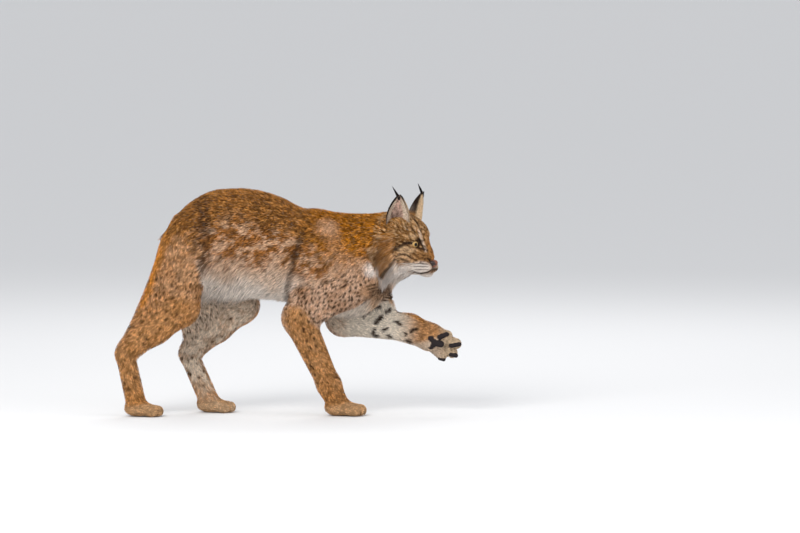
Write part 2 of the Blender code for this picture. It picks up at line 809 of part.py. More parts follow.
def set_locks(node, rows, forms, solver="EXACT"):
    """Joins locks to a node. Each row gives a root, moved to the skin, a way to lie, a size and a droop."""
    home = collection(node.name + "_locks")
    roots = settle(np.array([row[0] for row in rows]), forms, rounds=12, longest=0.02)
    outs = slope_of(roots, forms)
    outs /= np.linalg.norm(outs, axis=1, keepdims=True)
    for (_, way, size, droop), root, out in zip(rows, roots, outs):
        way = np.array(way, float)
        way /= np.linalg.norm(way)
        way -= out * (way @ out) * 0.85
        way /= np.linalg.norm(way)
        lock(node.name + "_lock", root, way, out, size, droop, forms, home)
    boolean(node, home, "UNION", solver)
    clear_collection(home)
    return keep_largest(node)


def ruff_rows(side, rng):
    """The cheek ruff: tiers from under the ear to the throat, longest at the jaw's corner."""
    rows = []
    for tier, forward in enumerate(RUFF_TIERS):
        for i in range(RUFF_LOCKS):
            t = (i + 0.5 * (tier % 2)) / RUFF_LOCKS
            root = on_head((forward + 0.016 * t, 0.066 * (1 - 0.45 * t**2.5), 0.016 - 0.092 * t), side)
            way = head_direction((-0.80 + 0.40 * t, 0.22, -0.45 - 0.7 * t), side)
            length = 0.034 + 0.028 * math.sin(math.pi * min(1, t * 0.75 + 0.1)) + rng.uniform(-0.004, 0.004)
            rows.append((root, way, (length, 0.018, 0.0070), 0.003))
    return rows


def row_of_locks(start, end, count, way, length, rng, scatter=0.004):
    """Locks in a line from start to end, such as behind the thigh or along the belly."""
    start, end, way = np.array(start), np.array(end), np.array(way)
    rows = []
    for i in range(count):
        root = start + (end - start) * (i + 0.5) / count
        root = root + np.array((rng.uniform(-1, 1), rng.uniform(-1, 1), 0)) * scatter
        turn = np.array((rng.uniform(-1, 1), rng.uniform(-1, 1), 0)) * 0.15
        rows.append((root, way + turn, (length * rng.uniform(0.85, 1.15), 0.019, 0.0065), 0.002))
    return rows


def tuft_locks(ear, side, rng):
    """The black tuft on the ear's tip: slender locks that leave the tip together and bend back."""
    home = collection(ear.name + "_tuft")
    tip, end = on_head(EAR_TIP, side), on_head(TUFT_TIP, side)
    faces = head_direction((math.cos(EAR_FACES), math.sin(EAR_FACES), 0.0), side)
    along = (end - tip) / np.linalg.norm(end - tip)
    across = np.cross(along, faces)
    across /= np.linalg.norm(across)
    for spread, share_of_length in TUFT_SPREAD:
        reach = tip + (end - tip) * share_of_length + across * spread * TUFT_TIP_SPREAD
        reach = reach + faces * rng.uniform(-0.001, 0.001)
        start = tip - along * TUFT_SINK + across * spread * TUFT_ROOT_SPREAD
        rings = []
        for share, width, thickness in TUFT_RINGS:
            bend = faces * TUFT_BEND * math.sin(math.pi * share)
            middle = start + (reach - start) * share + bend
            half, thick = across * width / 2, faces * thickness / 2
            rings.append((middle + half, middle + thick, middle - half, middle - thick))
        loft(ear.name + "_tuft", rings, home, reach)
    boolean(ear, home, "UNION")
    clear_collection(home)
    return keep_largest(ear)


def long_coat(nodes, forms, rng):
    """The long hair of ruff, chest, belly, elbows and thighs, each lock on its own node."""
    set_locks(nodes["head"], ruff_rows(1, rng) + ruff_rows(-1, rng), forms)
    for name, rows in FRINGES.items():
        set_locks(nodes[name], [row for line in rows for row in row_of_locks(*line, rng)], forms)


# Assembly


LEG_CUTS = {
    "foreleg_right": ((0.060, -0.034, 0.262), (0.0, 0.90, 0.44), (0.50, 0.31, 0.60)),
    "foreleg_left": ((0.190, 0.026, 0.262), (-0.40, -0.78, 0.48), (0.50, 0.56, 0.50)),
    "hindleg_right": ((-0.375, -0.010, 0.350), (0.0, 0.80, 0.60), (0.60, 0.28, 0.70)),
    "hindleg_left": ((-0.245, 0.026, 0.330), (0.0, -0.90, 0.44), (0.60, 0.30, 0.70)),
}
NECK_CUT = ((0.112, 0.0, 0.450), (-1.0, 0.0, -0.35), (0.20, 0.40, 0.250))
HEAD_CUT = ((0.214, -0.010, 0.480), (-0.974, 0.225, 0.0), (0.30, 0.40, 0.256))
LIMB_CUT_SIZE = (0.60, 0.17, 0.30)
FORE_BEND_SIZE = (0.60, 0.15, 0.16)
HIND_BEND_FACES = (0.35, 0.0, 0.94)
HIND_BEND_SIZE = (0.60, 0.15, 0.56)
REACHING_BEND_FACES = (-0.80, 0.0, 0.60)


def limb_cut(joints, upper, lower, share, facing=None, size=LIMB_CUT_SIZE):
    """A cut across a leg between two of its joints, taking everything beyond it within the block's width."""
    start, end = np.array(joints[upper][0]), np.array(joints[lower][0])
    return tuple(start + (end - start) * share), tuple(start - end) if facing is None else facing, size


def part_legs(body, home, tools):
    """Parts each leg into lower part, paw and upper part, the lower parts of all legs first."""
    nodes = {}
    fore_bend, fore_paw = ("elbow", "wrist", 0.14, None, FORE_BEND_SIZE), ("wrist", "ball", 0.0)
    reaching_bend = ("elbow", "wrist", 0.56, REACHING_BEND_FACES)
    hind_bend, hind_paw = ("knee", "hock", 0.16, HIND_BEND_FACES, HIND_BEND_SIZE), ("hock", "ball", 0.12)
    legs = {
        "foreleg_right": (FORELEG_RIGHT, fore_bend, fore_paw, "forepaw_right"),
        "foreleg_left": (FORELEG_LEFT, reaching_bend, fore_paw, "forepaw_left"),
        "hindleg_right": (HINDLEG_RIGHT, hind_bend, hind_paw, "hindpaw_right"),
        "hindleg_left": (HINDLEG_LEFT, hind_bend, hind_paw, "hindpaw_left"),
    }
    for leg, (joints, bend, root_of_paw, paw) in legs.items():
        lower = cut_off(body, leg + "_lower", limb_cut(joints, *bend), home, tools)
        nodes[paw] = cut_off(lower, paw, limb_cut(joints, *root_of_paw), home, tools)
        nodes[leg + "_lower"] = lower
    for leg, cut in LEG_CUTS.items():
        nodes[leg + "_upper"] = cut_off(body, leg + "_upper", cut, home, tools)
    return nodes


def finish(home):
    """Gives each node its material and smooth shading, and stands the animal over the middle of its box."""
    materials = {}
    for name, (colour, roughness) in COLOURS.items():
        material = bpy.data.materials.new(name)
        material.use_nodes = True
        shader = material.node_tree.nodes["Principled BSDF"]
        shader.inputs["Base Color"].default_value = (*colour, 1)
        shader.inputs["Roughness"].default_value = roughness
        materials[name] = material
    everything = np.vstack([points_of(obj.data) for obj in home.objects])
    middle = (everything.min(0) + everything.max(0)) / 2
    middle[2] = 0
    for obj in home.objects:
        kind = obj.name.split("_")[0]
        obj.data.materials.clear()
        obj.data.materials.append(materials[kind if kind in materials else "coat"])
        obj.data.shade_smooth()
        obj.data.vertices.foreach_set("co", (points_of(obj.data) - middle).ravel())
        obj.data.update()


def main():
    clear_scene()
    rng = random.Random(SEED)
    home, tools = collection("eurasian_lynx"), collection("cutters")
    body_part, head_part = body_forms(), head_forms()
    forms = body_part + head_part

    body = blended("torso", forms, forms, BODY_VOXEL, BODY_TRIANGLES, home)
    floor = block("floor", (0, 0, 0), (0, 0, 1), FLOOR_SIZE, tools)
    bpy.context.view_layer.update()
    boolean(body, floor, "DIFFERENCE")
    remove(floor)
    remove(cut_off(body, "coarse_head", HEAD_CUT, home, tools))

    shown = head_part + neck_forms()
    whole_head = blended("whole_head", shown, forms, HEAD_VOXEL, HEAD_TRIANGLES, tools)
    head = cut_off(whole_head, "head", HEAD_CUT, home, tools)
    remove(whole_head)

    neck = cut_off(body, "neck", NECK_CUT, home, tools)
    nodes = part_legs(body, home, tools)

    tail = blended("tail", tail_forms(), tail_forms(), TAIL_VOXEL, TAIL_TRIANGLES, home)
    clear_of(tail, body, tools)
    for leg in ("hindleg_right_upper", "hindleg_left_upper"):
        clear_of(tail, nodes[leg], tools)

    set_eyes(head, home)
    cut_mouth(head, tools)
    nose = make_nose(home, tools)
    clear_of(head, nose, tools)
    nodes.update({"torso": body, "neck": neck, "head": head, "tail": tail})
    long_coat(nodes, forms, rng)
    for name, side in (("ear_left", 1), ("ear_right", -1)):
        ear = make_ear(name, side, home)
        clear_of(ear, head, tools)
        tuft_locks(ear, side, rng)
    finish(home)


main()
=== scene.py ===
"""The look of the Eurasian lynx: one skin over the solids, its coat in tufts, eyes, nose and whiskers."""

import json
import math

import bmesh
import bpy
import numpy as np
from mathutils import Matrix, Vector

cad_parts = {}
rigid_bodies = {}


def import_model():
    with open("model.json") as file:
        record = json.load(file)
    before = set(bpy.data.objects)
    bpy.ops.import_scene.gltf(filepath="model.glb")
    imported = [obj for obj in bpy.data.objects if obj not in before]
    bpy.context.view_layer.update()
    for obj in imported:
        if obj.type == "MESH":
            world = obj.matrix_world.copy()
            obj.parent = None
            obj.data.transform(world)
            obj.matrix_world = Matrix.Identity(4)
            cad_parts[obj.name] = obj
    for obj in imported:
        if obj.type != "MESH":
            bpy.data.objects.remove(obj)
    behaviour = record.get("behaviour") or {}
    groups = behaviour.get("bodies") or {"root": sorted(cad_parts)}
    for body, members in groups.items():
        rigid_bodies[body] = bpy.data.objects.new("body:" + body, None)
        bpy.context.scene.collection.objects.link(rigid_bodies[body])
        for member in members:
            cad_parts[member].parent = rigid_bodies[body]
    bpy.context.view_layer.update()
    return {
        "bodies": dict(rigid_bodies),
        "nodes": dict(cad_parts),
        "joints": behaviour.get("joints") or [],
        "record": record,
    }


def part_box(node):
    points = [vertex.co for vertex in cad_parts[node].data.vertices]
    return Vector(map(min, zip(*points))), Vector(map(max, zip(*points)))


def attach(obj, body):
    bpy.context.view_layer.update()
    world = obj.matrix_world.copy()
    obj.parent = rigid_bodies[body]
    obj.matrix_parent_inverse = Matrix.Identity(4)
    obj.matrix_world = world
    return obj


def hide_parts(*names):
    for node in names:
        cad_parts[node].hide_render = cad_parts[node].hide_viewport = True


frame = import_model()

SEED = 7
FLOOR_HALF = 60.0
WORLD_STRENGTH = 0.82
CAMERA_DISTANCE = 23.7
CAMERA_AIM = Vector((0.267, 0.0, 0.396))
SKIN_VOXEL = 0.0038
DENSITY = 1.0
PIECE_LIMIT = 16000

# The trunk's outline: x, top, bottom and half width of the coat at each station from rump to neck
TRUNK = (
    (-0.345, 0.505, 0.410, 0.034),
    (-0.328, 0.533, 0.376, 0.056),
    (-0.308, 0.556, 0.352, 0.073),
    (-0.285, 0.574, 0.336, 0.086),
    (-0.242, 0.597, 0.321, 0.098),
    (-0.185, 0.606, 0.314, 0.106),
    (-0.114, 0.602, 0.310, 0.110),
    (-0.043, 0.580, 0.303, 0.108),
    (0.010, 0.554, 0.290, 0.103),
    (0.045, 0.553, 0.275, 0.100),
    (0.100, 0.542, 0.262, 0.096),
    (0.157, 0.535, 0.266, 0.087),
    (0.194, 0.532, 0.296, 0.076),
    (0.222, 0.530, 0.336, 0.064),
)

# Joints of each leg with the half thickness of the coat round each
FORELEG_RIGHT = {
    "blade": ((0.070, -0.050, 0.470), 0.052),
    "shoulder": ((0.135, -0.066, 0.365), 0.060),
    "elbow": ((-0.002, -0.076, 0.262), 0.043),
    "wrist": ((0.078, -0.050, 0.084), 0.031),
    "ball": ((0.100, -0.036, 0.034), 0.030),
}
FORELEG_LEFT = {
    "blade": ((0.090, 0.050, 0.470), 0.052),
    "shoulder": ((0.190, 0.058, 0.385), 0.056),
    "elbow": ((0.115, 0.066, 0.252), 0.046),
    "wrist": ((0.292, 0.044, 0.228), 0.037),
    "ball": ((0.345, 0.038, 0.202), 0.036),
}
HINDLEG_RIGHT = {
    "hip": ((-0.300, -0.044, 0.458), 0.066),
    "knee": ((-0.316, -0.074, 0.290), 0.047),
    "hock": ((-0.464, -0.064, 0.166), 0.027),
    "ball": ((-0.436, -0.056, 0.036), 0.028),
}
HINDLEG_LEFT = {
    "hip": ((-0.275, 0.044, 0.458), 0.066),
    "knee": ((-0.160, 0.074, 0.288), 0.048),
    "hock": ((-0.298, 0.074, 0.156), 0.027),
    "ball": ((-0.246, 0.072, 0.036), 0.028),
}
REACHING_ARM = ((0.188, 0.056, 0.360), (0.217, 0.054, 0.283), 0.050, 0.038)
SEAT_BONE = {"right": (-0.322, -0.046, 0.425), "left": (-0.312, 0.046, 0.425)}
SEAT_HALF_THICKNESS = 0.050
LIMB_FLAT = 0.86
TAIL = (
    ((-0.318, 0.000, 0.515), 0.026),
    ((-0.346, 0.006, 0.465), 0.023),
    ((-0.362, 0.014, 0.410), 0.022),
    ((-0.366, 0.020, 0.362), 0.019),
)

# The head's own frame: forward, left and up from the point between the eyes
HEAD_PLACE = (0.3136, -0.045, 0.466)
HEAD_YAW = math.radians(-27)
HEAD_PITCH = math.radians(6.3)
HEAD_SCALE = 1.12
EYE_PLACE = (0.0025, 0.0267, -0.0040)
EYE_RADIUS = 0.0132
LID_THICKNESS = 0.0024
EYE_TURN_OUT = math.radians(30)
EYE_OPENING = (0.0240, 0.0168)
EYE_SLANT = math.radians(14)
NOSE_PLACE = (0.0500, 0.0, -0.0440)
EAR_BASE = (-0.037, 0.044, 0.047)
EAR_TIP = (-0.029, 0.061, 0.106)
EAR_HALF_WIDTH = 0.029
EAR_THICKNESS = 0.0022
EAR_FACES = math.radians(50)
TUFT_TIP = (-0.048, 0.067, 0.130)

STANDING_TOES = ((0.047, -0.029), (0.062, -0.0105), (0.062, 0.0105), (0.047, 0.029))
STANDING_TOE_RADIUS = 0.0165
REACHING_TOES = ((0.100, -0.024), (0.131, -0.0125), (0.131, 0.0155), (0.108, 0.0325))
REACHING_TOE_RADIUS = 0.0155
REACHING_PAW_FLAT = 0.62
REACHING_DROP = math.radians(23)
REACHING_ROLL = math.radians(18)
FLOOR_SINK = 0.002
HIND_PAW_SCALE = 0.94

# How far skin and tufts stay above the floor
SKIN_CLEARANCE = 0.0006
FLOOR_CLEARANCE = 0.0012

# Pads under the reaching paw: start and end of each rod along and across the paw, its depth and radius
PADS = (
    ((0.0762, 0.0020), (0.0628, -0.0059), 0.0225, 0.0085),
    ((0.0762, 0.0020), (0.0937, -0.0012), 0.0225, 0.0085),
    ((0.0762, 0.0020), (0.0713, 0.0153), 0.0225, 0.0085),
    ((0.0825, -0.0162), (0.0975, -0.0320), 0.0165, 0.0062),
    ((0.1200, -0.0070), (0.1390, -0.0200), 0.0165, 0.0060),
    ((0.1300, 0.0165), (0.1430, 0.0140), 0.0165, 0.0060),
    ((0.1069, 0.0405), (0.1172, 0.0390), 0.0135, 0.0055),
)
PAD_BLEND = 0.002

# Coat by kind of form: depth over the skin, length, width, spacing, overshoot of the tips
COAT = {
    "trunk": (0.0085, 0.0150, 0.0022, 0.0031, 0.0020),
    "neck": (0.0095, 0.0180, 0.0022, 0.0030, 0.0024),
    "head": (0.0030, 0.010, 0.0014, 0.0019, 0.0006),
    "arm": (0.0055, 0.0088, 0.0018, 0.0027, 0.0011),
    "forearm": (0.0048, 0.0090, 0.0016, 0.0025, 0.0007),
    "thigh": (0.0065, 0.0120, 0.0021, 0.0030, 0.0014),
    "shank": (0.0052, 0.0100, 0.0017, 0.0026, 0.0009),
    "paw": (0.0030, 0.0065, 0.0013, 0.0020, 0.0004),
    "pad": (0.0, 0.005, 0.0015, 0.0060, 0.0),
    "tail": (0.0070, 0.0160, 0.0022, 0.0028, 0.0014),
}
ROW = {kind: row for row, kind in enumerate(COAT)}
BODY_ROWS = [ROW["trunk"], ROW["neck"]]

# The same sizes at the front of the face, and what the back of the head and the ruff add to them
FACE_SIZES = (
    (0.0010, 0.0042, 0.0011, 0.0017, 0.0004),
    (0.0030, 0.0100, 0.0007, 0.0006, 0.0008),
    (0.0050, 0.0300, 0.0010, 0.0002, 0.0050),
)


def smoothstep(low, high, value):
    t = np.clip((value - low) / (high - low), 0, 1)
    return t * t * (3 - 2 * t)


def unit(v):
    return v / np.maximum(np.linalg.norm(v, axis=1, keepdims=True), 1e-9)


# Forms


class Ball:
    def __init__(self, centre, radii, blend, kind, frame=None, lie=(-1, 0, -0.3)):
        self.centre = np.array(centre, float)
        self.radii = np.array(radii, float)
        self.blend = blend
        self.kind = kind
        self.frame = np.eye(3) if frame is None else np.array(frame, float)
        self.lie = np.array(lie, float)
        self.middle, self.reach = self.centre, self.radii.max()

    def distance(self, points):
        local = (points - self.centre) @ self.frame
        shape = np.linalg.norm(local / self.radii, axis=1)
        slope = np.linalg.norm(local / self.radii**2, axis=1)
        return shape * (shape - 1) / np.maximum(slope, 1e-6)

    def balls(self):
        return [(self.centre, self.radii, self.frame)]


class Limb:
    def __init__(self, start, end, start_radius, end_radius, blend, kind, flat=1.0, lie=None):
        self.scale = np.array((1.0, 1.0 / flat, 1.0))
        self.start = np.array(start, float)
        self.end = np.array(end, float)
        self.radii = (start_radius, end_radius)
        self.blend = blend
        self.kind = kind
        run = self.end - self.start
        self.lie = run / np.linalg.norm(run) if lie is None else np.array(lie, float)
        self.middle = (self.start + self.end) / 2
        self.reach = np.linalg.norm(run) / 2 + max(self.radii)

    def distance(self, points):
        run = (self.end - self.start) * self.scale
        local = (points - self.start) * self.scale
        share = np.clip(local @ run / (run @ run), 0, 1)
        radius = self.radii[0] + share * (self.radii[1] - self.radii[0])
        return np.linalg.norm(local - share[:, None] * run, axis=1) - radius

    def balls(self):
        count = 2 + int(np.linalg.norm(self.end - self.start) / (0.6 * min(self.radii)))
        found = []
        for share in np.linspace(0, 1, count):
            radius = self.radii[0] + share * (self.radii[1] - self.radii[0])
            found.append((self.start + share * (self.end - self.start), radius / self.scale, np.eye(3)))
        return found


class Trunk:
    def __init__(self, stations, blend):
        self.stations = np.array(stations, float)
        self.blend = blend
        self.kind = "trunk"
        self.lie = np.array((-1, 0, -0.35))
        self.low, self.high = self.stations[0, 0], self.stations[-1, 0]
        self.middle, self.reach = np.array((-0.06, 0, 0.43)), 0.36

    def section(self, x):
        xs = self.stations[:, 0]
        slopes = np.gradient(self.stations[:, 1:], xs, axis=0)
        at = np.clip(x, self.low, self.high)
        i = np.clip(np.searchsorted(xs, at) - 1, 0, len(xs) - 2)
        width = xs[i + 1] - xs[i]
        t = ((at - xs[i]) / width)[:, None]
        a, b = self.stations[i, 1:], self.stations[i + 1, 1:]
        sa, sb = slopes[i] * width[:, None], slopes[i + 1] * width[:, None]
        values = (
            (2 * t**3 - 3 * t**2 + 1) * a
            + (t**3 - 2 * t**2 + t) * sa
            + (3 * t**2 - 2 * t**3) * b
            + (t**3 - t**2) * sb
        )
        top, bottom, half_width = values.T
        return (top + bottom) / 2, (top - bottom) / 2, half_width

    def distance(self, points):
        middle, half_height, half_width = self.section(points[:, 0])
        across = points[:, 1] / half_width
        up = (points[:, 2] - middle) / half_height
        shape = np.hypot(across, up)
        slope = np.hypot(across / half_width, up / half_height)
        past = points[:, 0] - np.clip(points[:, 0], self.low, self.high)
        side = shape * (shape - 1) / np.maximum(slope, 1e-6)
        return np.where(past == 0, side, np.hypot(np.maximum(side, 0), past) + np.minimum(side, 0))

    def balls(self):
        xs = np.arange(self.low + 0.01, self.high, 0.012)
        middle, half_height, half_width = self.section(xs)
        return [
            (np.array((x, 0, m)), np.array((0.02, w, h)), np.eye(3))
            for x, m, h, w in zip(xs, middle, half_height, half_width)
        ]


FAR = 0.2
NEAR = 0.07
CHUNK = 3000


def chunks(points):
    return [slice(start, start + CHUNK) for start in range(0, len(points), CHUNK)]


def distances(points, forms):
    """The forms near a group of points and the distance of each point to each of them."""
    low, high = points.min(0), points.max(0)
    own = []
    found = []
    for form in forms:
        gap = form.middle - np.clip(form.middle, low, high)
        if gap @ gap > (form.reach + NEAR) ** 2:
            continue
        row = np.full(len(points), FAR)
        near = ((points - form.middle) ** 2).sum(1) < (form.reach + NEAR) ** 2
        if near.any():
            row[near] = form.distance(points[near])
            own.append(form)
            found.append(row)
    return own, found


def joined(found, forms):
    value = found[0].copy()
    for row, form in zip(found[1:], forms[1:]):
        near = row < FAR
        a, b = value[near], row[near]
        share = np.clip(0.5 + 0.5 * (b - a) / form.blend, 0, 1)
        value[near] = b + (a - b) * share - form.blend * share * (1 - share)
    return value


def field(points, forms):
    value = np.full(len(points), FAR)
    for part in chunks(points):
        own, found = distances(points[part], forms)
        if own:
            value[part] = joined(found, own)
    return value


def slope_of(points, forms, step=0.0008):
    base = field(points, forms)
    parts = [field(points + axis, forms) - base for axis in np.eye(3) * step]
    return base, np.stack(parts, axis=1) / step


def head_frame():
    level = Vector((math.cos(HEAD_YAW), math.sin(HEAD_YAW), 0))
    left = Vector((-math.sin(HEAD_YAW), math.cos(HEAD_YAW), 0))
    forward = level * math.cos(HEAD_PITCH) - Vector((0, 0, math.sin(HEAD_PITCH)))
    return np.array((forward, left, forward.cross(left))).T


HEAD_AXES = head_frame()


def from_head(places):
    """Points of the model from places in the head's own frame, in its unscaled sizes."""
    return np.array(HEAD_PLACE) + (places * HEAD_SCALE) @ HEAD_AXES.T


def on_head(place, side=1):
    return from_head(np.array(place) * (1, side, 1))


def in_head(points):
    """Points in the head's own frame, in its unscaled sizes."""
    return (points - HEAD_PLACE) @ HEAD_AXES / HEAD_SCALE


def head_direction(direction, side=1):
    found = HEAD_AXES @ (np.array(direction) * (1, side, 1))
    return found / np.linalg.norm(found)


def reaching_frame():
    toes = Vector((math.cos(REACHING_DROP), 0, -math.sin(REACHING_DROP)))
    lifted = Vector((math.sin(REACHING_DROP), 0, math.cos(REACHING_DROP)))
    back = Vector((0, math.cos(REACHING_ROLL), 0)) + lifted * math.sin(REACHING_ROLL)
    return np.array((toes, back.cross(toes), back)).T


def head_ball(place, radii, blend, side=1):
    return Ball(on_head(place, side), np.array(radii) * HEAD_SCALE, blend, "head", HEAD_AXES)


def head_rod(start, end, start_radius, end_radius, blend, side=1):
    radii = (start_radius * HEAD_SCALE, end_radius * HEAD_SCALE)
    return Limb(on_head(start, side), on_head(end, side), *radii, blend, "head")


def head_forms():
    forms = [
        head_ball((-0.046, 0, 0.014), (0.064, 0.054, 0.050), 0.02),
        head_ball((-0.008, 0, 0.016), (0.028, 0.036, 0.026), 0.02),
        head_rod((0.004, 0, 0.015), (0.0350, 0, -0.0335), 0.015, 0.0130, 0.012),
        head_ball((0.012, 0, -0.008), (0.016, 0.017, 0.022), 0.012),
        head_rod((-0.050, 0, -0.048), (0.020, 0, -0.0640), 0.036, 0.0150, 0.016),
        head_ball((0.0325, 0, -0.0705), (0.0155, 0.0160, 0.0108), 0.006),
        head_ball((-0.060, 0, -0.050), (0.046, 0.046, 0.040), 0.03),
    ]
    for side in (-1, 1):
        forms += [
            head_ball((-0.028, 0.033, -0.026), (0.038, 0.027, 0.036), 0.022, side),
            head_ball((0.003, 0.026, 0.0165), (0.012, 0.015, 0.0075), 0.010, side),
            head_ball((0.0285, 0.0160, -0.0565), (0.0240, 0.0185, 0.0168), 0.007, side),
            head_ball((0.006, 0.028, -0.050), (0.024, 0.015, 0.020), 0.014, side),
            head_ball((-0.056, 0.040, -0.046), (0.034, 0.028, 0.044), 0.025, side),
            head_ball((-0.052, 0.044, 0.024), (0.027, 0.023, 0.023), 0.030, side),
            head_ball((0.017, 0.0165, -0.030), (0.020, 0.0140, 0.024), 0.012, side),
            Ball(on_head(EYE_PLACE, side), (EYE_RADIUS + LID_THICKNESS,) * 3, 0.006, "head"),
        ]
    return forms


def neck_forms():
    lie = (-0.9, 0, -0.5)
    return [
        Limb((0.135, 0.0, 0.420), on_head((-0.080, 0, -0.005)), 0.092, 0.060, 0.05, "neck", 0.88, lie),
        Limb((0.165, 0.0, 0.352), on_head((-0.062, 0, -0.058)), 0.072, 0.046, 0.04, "neck", 0.9, lie),
    ]


def paw_forms(origin, frame, toes, toe_base, toe_radius, base):
    place, radii = base
    along = frame[:, 0]
    forms = [Ball(origin + frame @ np.array(place), radii, 0.014, "paw", frame, along)]
    for reach, across in toes:
        start = origin + frame @ np.array((toe_base, across * 0.72, 0.003))
        end = origin + frame @ np.array((reach, across, -0.004))
        forms.append(Limb(start, end, toe_radius * 0.95, toe_radius, 0.005, "paw"))
    return forms


def standing_paw(ball_joint, scale=1.0):
    radius = STANDING_TOE_RADIUS * scale
    origin = np.array((ball_joint[0], ball_joint[1], radius - FLOOR_SINK + 0.004))
    toes = [(along * scale, across * scale) for along, across in STANDING_TOES]
    base = ((0.010, 0, 0.0015), (0.045 * scale, 0.037 * scale, 0.0215 * scale))
    return paw_forms(origin, np.eye(3), toes, 0.018, radius, base)


def reaching_paw(wrist):
    frame = reaching_frame()
    base = ((0.060, -0.002, 0.0), (0.050, 0.038, 0.023))
    forms = paw_forms(wrist, frame, REACHING_TOES, 0.070, REACHING_TOE_RADIUS, base)
    for start, end, depth, radius in PADS:
        start, end = wrist + frame @ np.array((*start, -depth)), wrist + frame @ np.array((*end, -depth))
        forms.append(Limb(start, end, radius, radius, PAD_BLEND, "pad"))
    return forms


def chain(joints, names, blend, flat, kind):
    forms = []
    for upper, lower in zip(names, names[1:]):
        (start, start_radius), (end, end_radius) = joints[upper], joints[lower]
        forms.append(Limb(start, end, start_radius, end_radius, blend, kind, flat))
    return forms


def foreleg_forms(joints, paw, paw_flat):
    forms = chain(joints, ("blade", "shoulder", "elbow"), 0.035, 0.62, "arm")
    forms += chain(joints, ("elbow", "wrist"), 0.02, LIMB_FLAT, "forearm")
    forms += chain(joints, ("wrist", "ball"), 0.02, paw_flat, "forearm")
    blade, elbow = np.array(joints["blade"][0]), np.array(joints["elbow"][0])
    forms.append(Limb(blade, elbow + np.array((0.006, 0, 0.020)), 0.040, 0.036, 0.03, "arm", 0.6))
    for form in forms[:2] + forms[-1:]:
        form.lie = np.array((-0.5, 0, -0.8))
    return forms + paw


def hindleg_forms(joints, seat):
    forms = chain(joints, ("hip", "knee"), 0.035, 0.62, "thigh")
    forms += chain(joints, ("knee", "hock"), 0.025, 0.74, "shank")
    forms += chain(joints, ("hock", "ball"), 0.012, LIMB_FLAT, "shank")
    knee, hock = np.array(joints["knee"][0]), np.array(joints["hock"][0])
    hollow = hock + np.array((0.012, 0, 0.026))
    forms.append(Limb(seat, hollow, SEAT_HALF_THICKNESS, 0.024, 0.03, "thigh", 0.68))
    forms.append(Limb(seat, knee + (hock - knee) * 0.45, SEAT_HALF_THICKNESS, 0.034, 0.03, "thigh", 0.68))
    forms[0].lie = np.array((-0.6, 0, -0.8))
    return forms + standing_paw(joints["ball"][0], HIND_PAW_SCALE)


def tail_forms():
    return [
        Limb(start, end, start_radius, end_radius, 0.003, "tail")
        for (start, start_radius), (end, end_radius) in zip(TAIL, TAIL[1:])
    ]


def lynx_forms():
    forms = [Trunk(TRUNK, 0.04)]
    forms += neck_forms()
    forms += foreleg_forms(FORELEG_RIGHT, standing_paw(FORELEG_RIGHT["ball"][0]), LIMB_FLAT)
    reaching = reaching_paw(np.array(FORELEG_LEFT["wrist"][0]))
    forms += foreleg_forms(FORELEG_LEFT, reaching, REACHING_PAW_FLAT)
    forms.append(Limb(*REACHING_ARM, 0.02, "arm", 0.7, (-0.1, 0, -1)))
    forms += hindleg_forms(HINDLEG_RIGHT, SEAT_BONE["right"])
    forms += hindleg_forms(HINDLEG_LEFT, SEAT_BONE["left"])
    forms += head_forms()
    forms += tail_forms()
    return forms


FORMS = lynx_forms()
TRUNK_FORM = FORMS[0]
SHIFT = (np.array(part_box("eye_left")[0]) + np.array(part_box("eye_left")[1])) / 2 - on_head(EYE_PLACE)


# What the coat does at a point: nearness to each kind of form, depth, length, width, spacing and lie


def ruff_share(head):
    """1 on the cheek ruff, from below the ear to the corner of the jaw, 0 on the face."""
    forward, left, up = head.T
    back = smoothstep(-0.018, -0.050, forward)
    low = smoothstep(0.030, -0.010, up)
    side = smoothstep(0.012, 0.036, np.abs(left))
    return back * low * side


def coat_at(points):
    """Distance from the coat's surface, share of each kind, sizes and lie of the hair, place in the head."""
    value, weights, sizes, lie, head = zip(*(coat_of_group(points[part]) for part in chunks(points)))
    weights = np.concatenate(weights, axis=1)
    return np.concatenate(value), weights, np.concatenate(sizes), np.concatenate(lie), np.concatenate(head)


